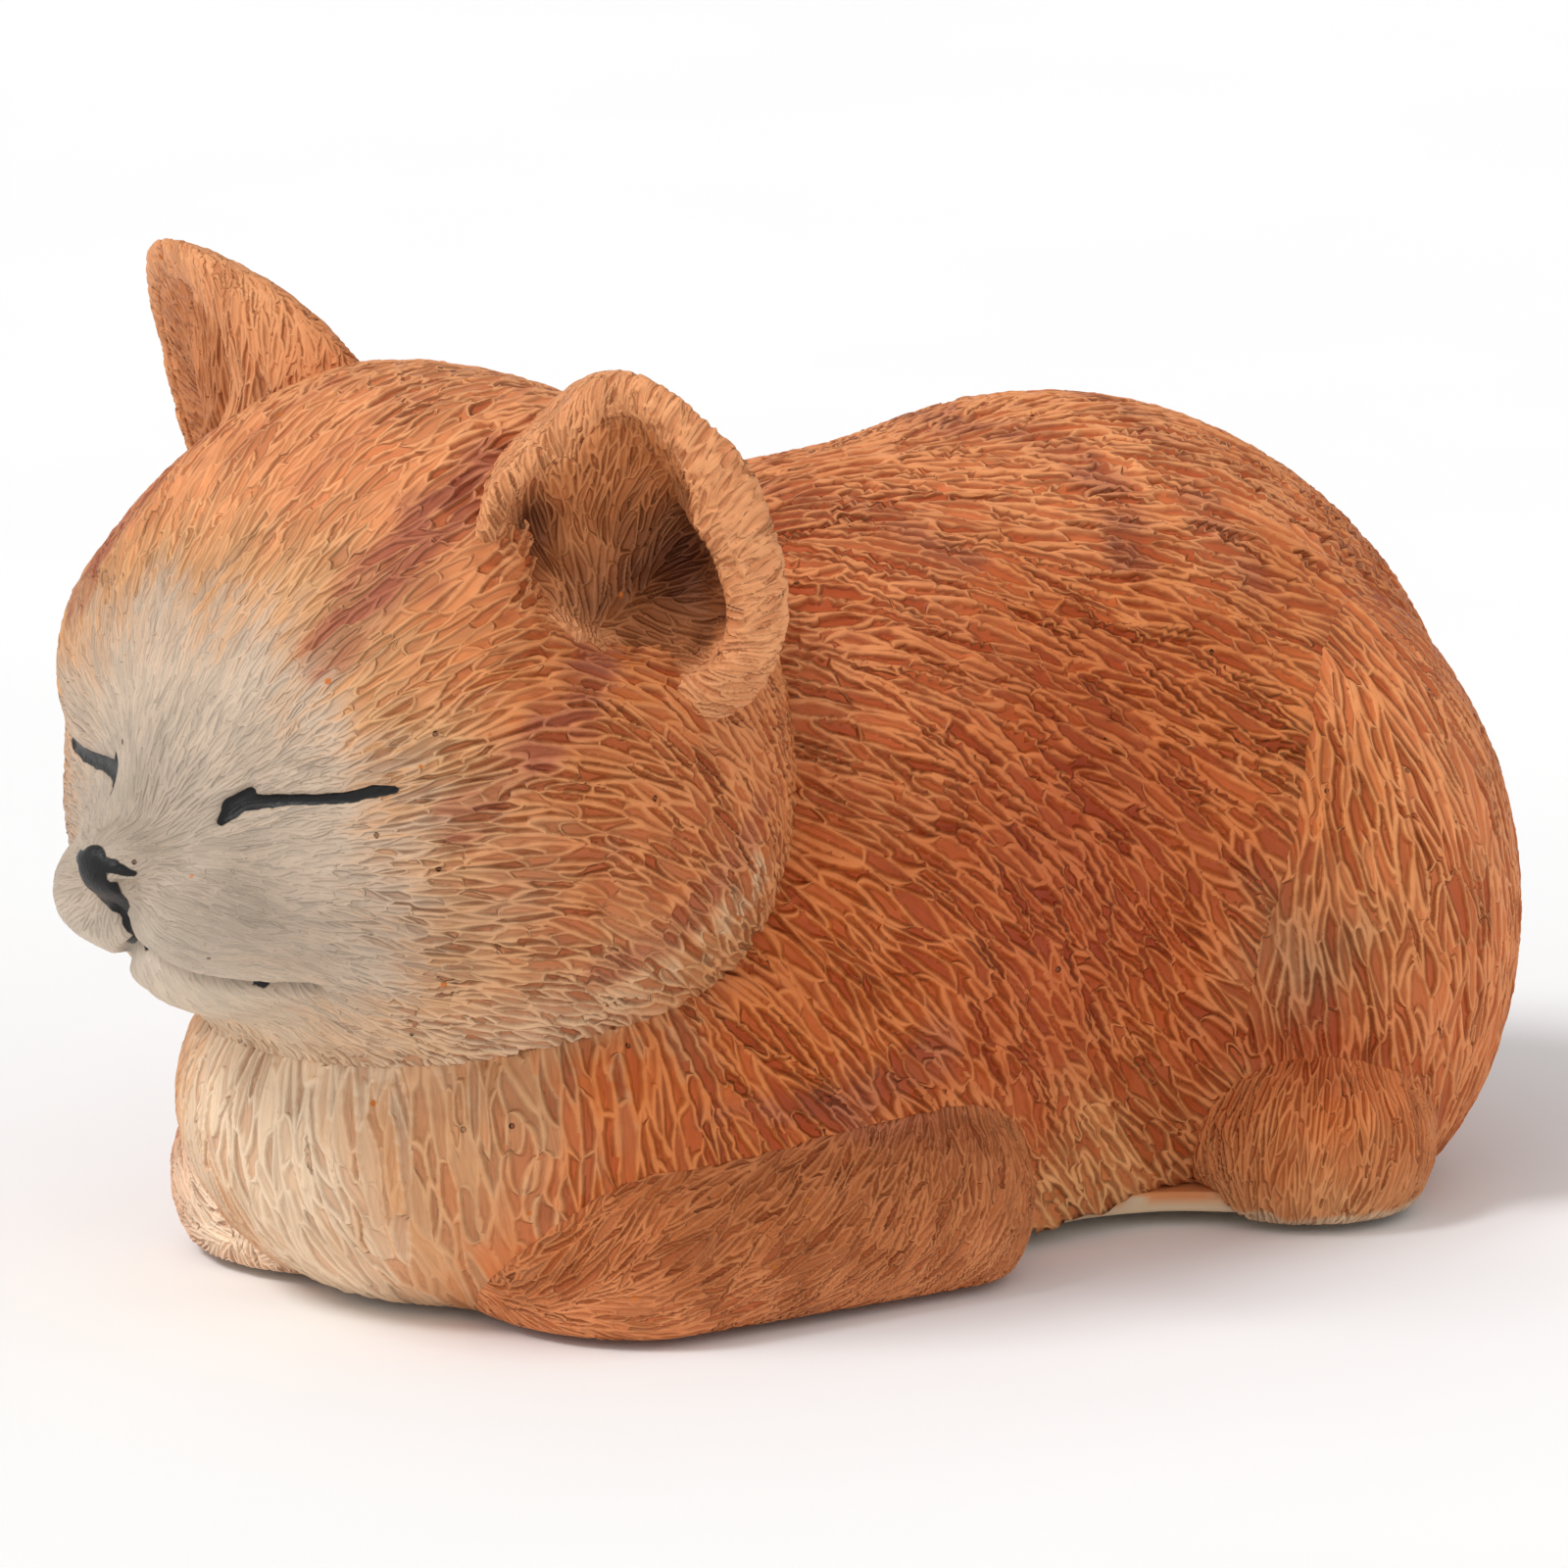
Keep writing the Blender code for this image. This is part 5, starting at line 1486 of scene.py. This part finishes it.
def paint_ear(name, points, plane, along, tone):
    """Peach on the rim, brown in the hollow with painted shade in its pockets, and partly orange on the back.
    """
    tints = settings()
    wobble = soft_noise(points, 4.0, 51)
    coat = coloured(points, EAR_PEACH)
    inside = step(EAR_RIM_START + 0.03, EAR_RIM_START - 0.05, along + 0.02 * wobble)
    coat = mix(coat, vec(*EAR_BROWN[name]), 0.85 * inside)
    weight = {"left": 1.0, "right": 0.2}[name]
    # Painted shade in the hollow's pockets, much weaker on the right ear
    for place, spread, strength in EAR_PAINTED_SHADES:
        gap = np.linalg.norm((plane - vec(*place)) / vec(*spread), axis=-1) * (1.0 + 0.2 * wobble)
        coat = mix(coat, vec(*PAINTED_SHADE_BROWN), weight * strength * inside * np.exp(-0.5 * gap ** 2))
    back = step(EAR_RIM_END, 0.85, along)
    return mix(coat, tints.orange, 0.55 * back + 0.2 * (tone - 0.5) * back)


def make_ears():
    """Both cups, with fur that runs from the cup's lower inner corner to its rim."""
    tints = settings()
    material = coat_material("painted ears")
    for name, sign in SIDES:
        grid, plane, along = ear_surface(name, sign, *EAR_GRID)
        middle, across, up, _ = ear_axes(sign)

        def flow(places):
            gap = places - middle
            away = np.outer(gap @ across + 5.0, across) + np.outer(gap @ up + 7.0, up)
            return away + 4.0 * up * step(4.0, 8.0, gap @ across)[:, None]

        grid, marks = furred(grid, flow, *alike(EAR_FUR), tints.seed + 60 + int(sign))
        coat = paint_ear(name, grid, plane, along, marks["tone"])
        mesh = furred_mesh(f"{name}_ear_cup", grid, marks, coat)
        add_piece(f"{name}_ear_cup", mesh, material, "ear_coat", f"{name}_ear")


def turned_disc(profile, turn, edge):
    """Rings of an outline: each row of the profile gives the share of the outline's reach and the height."""
    share, height = profile[:, :1], profile[:, 1:]
    spread = np.stack([np.cos(turn), np.sin(turn)], axis=-1)[None] * (edge * share)[..., None]
    return spread, height + 0.0 * edge


def rounded_profile(reach_out, low, high, rounding, steps):
    """From the middle below, out and over a rounded edge, to the middle above."""
    quarter = np.linspace(0.0, 0.5 * math.pi, 7)
    lower = np.stack([1.0 - rounding / reach_out * (1.0 - np.sin(quarter)),
                      low + rounding * (1.0 - np.cos(quarter))], axis=-1)
    upper = np.stack([1.0 - rounding / reach_out * (1.0 - np.cos(quarter)),
                      high - rounding * (1.0 - np.sin(quarter))], axis=-1)
    inward = np.linspace(0.0, 1.0, steps, endpoint=False)[:, None]
    under = np.concatenate([inward * lower[0, 0], np.full((steps, 1), low)], axis=1)
    above = np.concatenate([inward[::-1] * upper[-1, 0], np.full((steps, 1), high)], axis=1)
    return np.concatenate([under, lower, upper, above])


def make_foot_slab():
    """The slab's outline drawn in to its middle below and above, with a rounded, slightly uneven edge."""
    turn, edge = slab_loop(360)
    low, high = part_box("base_slab")[0].z / MM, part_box("base_slab")[1].z / MM
    profile = rounded_profile(float(edge.mean()), low, high, 0.3, 12)
    spread, height = turned_disc(profile, turn, edge)
    grid = np.concatenate([spread + vec(*SLAB_MIDDLE), height[..., None]], axis=-1)
    sideways = step(0.9, 1.0, profile[:, :1])[..., None]
    grid = grid + 0.05 * sideways * soft_noise(grid, 3.0, 81)[..., None] * vec(1.0, 1.0, 0.0)
    low_line = 1.62 - 0.3 * step(-9.0, -6.5, grid[..., 1])
    painted = step(low_line, low_line + 0.25, grid[..., 2] + 0.14 * soft_noise(grid, 2.2, 83))
    painted = painted[..., None]
    coat = painted * paint_body(grid, 0.5) + (1.0 - painted) * vec(*settings().resin)
    mesh = make_mesh("resin_foot_slab", grid, {"coat": coat})
    add_piece("resin_foot_slab", mesh, resin_material(), "bare_resin", "base_slab")


def resin_material():
    """Bare cast resin: cream with faint clouds, smears of orange paint and fine sanding marks."""
    paint = Paints("bare cast resin")
    tints = settings()
    cloud = paint.noise(0.004, 4.0, 0.6)
    sand = paint.noise(0.0004, 3.0, 0.7)
    coat = paint.attribute("coat", "Color")
    colour = paint.blend(paint.ramp(cloud, 0.35, 0.7), coat, paint.blend(0.3, coat, tints.resin))
    smear = paint.times(paint.ramp(paint.noise(0.0026, 5.0, 0.65), 0.58, 0.66), 0.7)
    colour = paint.blend(smear, colour, SMEAR_ORANGE)
    rough = paint.ramp(sand, 0.3, 0.7, 0.42, 0.6)
    return paint.done(colour, rough, paint.bump(sand, 0.00004, 0.7))


def foam_material():
    """Black foam rubber with fine open cells."""
    paint = Paints("black foam")
    cell, _ = paint.dots(0.0004)
    mottle = paint.noise(0.0015, 3.0)
    colour = paint.blend(paint.ramp(mottle, 0.3, 0.7), *FOAM_BLACKS)
    rough = paint.ramp(mottle, 0.3, 0.7, 0.72, 0.88)
    return paint.done(colour, rough, paint.bump(cell, 0.00012, 0.8))


def make_foot_pads():
    """Four foam discs with softly rounded edges under the slab."""
    material = foam_material()
    turn = -math.pi + np.arange(96) * 2.0 * math.pi / 96
    for end in ("front", "rear"):
        for name, _ in SIDES:
            node = f"foot_pad_{end}_{name}"
            low, high = (np.array(corner) / MM - TO_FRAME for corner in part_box(node))
            radius = 0.5 * (high[0] - low[0])
            profile = rounded_profile(radius, low[2], high[2], 0.14, 8)
            spread, height = turned_disc(profile, turn, np.full(96, radius))
            grid = np.concatenate([spread + 0.5 * (low + high)[:2], height[..., None]], axis=-1)
            piece = f"foam_pad_{end}_{name}"
            add_piece(piece, make_mesh(piece, grid), material, "foam_pad", node)


def make_stage():
    """A broad pale floor, a soft sun from the upper left, an even sky and the camera."""
    span = 6.0
    mesh = bpy.data.meshes.new("studio_floor")
    corners = [(-span, -span, 0.0), (span, -span, 0.0), (span, span, 0.0), (-span, span, 0.0)]
    mesh.from_pydata(corners, [], [(0, 1, 2, 3)])
    floor = bpy.data.objects.new("studio_floor", mesh)
    bpy.context.scene.collection.objects.link(floor)
    paint = Paints("pale paper floor")
    mottle = paint.noise(0.05, 3.0)
    colour = paint.blend(paint.ramp(mottle, 0.3, 0.7), *FLOOR_WHITES)
    mesh.materials.append(paint.done(colour, 0.9, None))

    world = bpy.data.worlds.new("studio_sky")
    world.use_nodes = True
    world.node_tree.nodes["Background"].inputs["Color"].default_value = (1.0, 1.0, 1.0, 1.0)
    world.node_tree.nodes["Background"].inputs["Strength"].default_value = SKY_LEVEL
    bpy.context.scene.world = world

    for name, direction, strength, width in SUNS:
        lamp = bpy.data.lights.new(name, "SUN")
        lamp.energy = strength
        lamp.angle = math.radians(width)
        thing = bpy.data.objects.new(name, lamp)
        thing.rotation_euler = Vector(direction).to_track_quat("Z", "Y").to_euler()
        bpy.context.scene.collection.objects.link(thing)

    turn, tilt = math.radians(CAMERA_TURN), math.radians(CAMERA_TILT)
    back = vec(math.sin(turn) * math.cos(tilt), -math.cos(turn) * math.cos(tilt), math.sin(tilt))
    right = vec(math.cos(turn), math.sin(turn), 0.0)
    up = np.cross(back, right)
    aim = CAMERA_AIM[0] * right + CAMERA_AIM[1] * up
    data = bpy.data.cameras.new("studio_camera")
    data.sensor_width = 36.0
    data.lens = CAMERA_LENS
    camera = bpy.data.objects.new("studio_camera", data)
    turned = Matrix((right, up, back)).transposed().to_4x4()
    place = (aim + back * CAMERA_DISTANCE + TO_FRAME) * MM
    camera.matrix_world = Matrix.Translation(Vector(place)) @ turned
    bpy.context.scene.collection.objects.link(camera)
    bpy.context.scene.camera = camera
    bpy.context.scene.view_settings.view_transform = "Standard"


class KITTEN_OT_head(bpy.types.Operator):
    """Build the sleeping head with its painted face"""
    bl_idname = "kitten.head"
    bl_label = "Head"

    def execute(self, context):
        make_head()
        return {"FINISHED"}


class KITTEN_OT_ears(bpy.types.Operator):
    """Build both ear cups"""
    bl_idname = "kitten.ears"
    bl_label = "Ears"

    def execute(self, context):
        make_ears()
        return {"FINISHED"}


class KITTEN_OT_torso(bpy.types.Operator):
    """Build the furred torso"""
    bl_idname = "kitten.torso"
    bl_label = "Torso"

    def execute(self, context):
        make_torso()
        return {"FINISHED"}


class KITTEN_OT_haunches(bpy.types.Operator):
    """Build both thighs"""
    bl_idname = "kitten.haunches"
    bl_label = "Thighs"

    def execute(self, context):
        make_haunches()
        return {"FINISHED"}


class KITTEN_OT_hind_feet(bpy.types.Operator):
    """Build both back paws"""
    bl_idname = "kitten.hind_feet"
    bl_label = "Back paws"

    def execute(self, context):
        make_hind_feet()
        return {"FINISHED"}


class KITTEN_OT_forelegs(bpy.types.Operator):
    """Build both front legs"""
    bl_idname = "kitten.forelegs"
    bl_label = "Front legs"

    def execute(self, context):
        make_forelegs()
        return {"FINISHED"}


class KITTEN_OT_tail(bpy.types.Operator):
    """Build the curled tail"""
    bl_idname = "kitten.tail"
    bl_label = "Tail"

    def execute(self, context):
        make_tail()
        return {"FINISHED"}


class KITTEN_OT_foot_slab(bpy.types.Operator):
    """Build the bare resin foot"""
    bl_idname = "kitten.foot_slab"
    bl_label = "Resin foot"

    def execute(self, context):
        make_foot_slab()
        return {"FINISHED"}


class KITTEN_OT_foot_pads(bpy.types.Operator):
    """Build the four foam pads"""
    bl_idname = "kitten.foot_pads"
    bl_label = "Foam pads"

    def execute(self, context):
        make_foot_pads()
        return {"FINISHED"}


class KITTEN_OT_stage(bpy.types.Operator):
    """Build the floor, the lamps, the sky and the camera"""
    bl_idname = "kitten.stage"
    bl_label = "Stage"

    def execute(self, context):
        make_stage()
        return {"FINISHED"}


OPERATORS = (KITTEN_OT_torso, KITTEN_OT_head, KITTEN_OT_ears, KITTEN_OT_haunches, KITTEN_OT_hind_feet,
             KITTEN_OT_forelegs, KITTEN_OT_tail, KITTEN_OT_foot_slab, KITTEN_OT_foot_pads, KITTEN_OT_stage)


class KITTEN_PT_build(bpy.types.Panel):
    """Lists the kitten's sizes and colours and the pieces that can be built"""
    bl_idname = "KITTEN_PT_build"
    bl_label = "Sleeping kitten"
    bl_space_type = "VIEW_3D"
    bl_region_type = "UI"
    bl_category = "Kitten"

    def draw(self, context):
        column = self.layout.column()
        for name in KittenSettings.__annotations__:
            column.prop(context.scene.kitten, name)
        for operator in OPERATORS:
            column.operator(operator.bl_idname)


def register():
    bpy.utils.register_class(KittenSettings)
    for operator in OPERATORS:
        bpy.utils.register_class(operator)
    bpy.utils.register_class(KITTEN_PT_build)
    bpy.types.Scene.kitten = bpy.props.PointerProperty(type=KittenSettings)


def unregister():
    del bpy.types.Scene.kitten
    bpy.utils.unregister_class(KITTEN_PT_build)
    for operator in reversed(OPERATORS):
        bpy.utils.unregister_class(operator)
    bpy.utils.unregister_class(KittenSettings)


def main():
    register()
    bpy.ops.kitten.stage()
    bpy.ops.kitten.torso()
    bpy.ops.kitten.head()
    bpy.ops.kitten.ears()
    bpy.ops.kitten.haunches()
    bpy.ops.kitten.hind_feet()
    bpy.ops.kitten.forelegs()
    bpy.ops.kitten.tail()
    bpy.ops.kitten.foot_slab()
    bpy.ops.kitten.foot_pads()


if __name__ == "__main__":
    main()
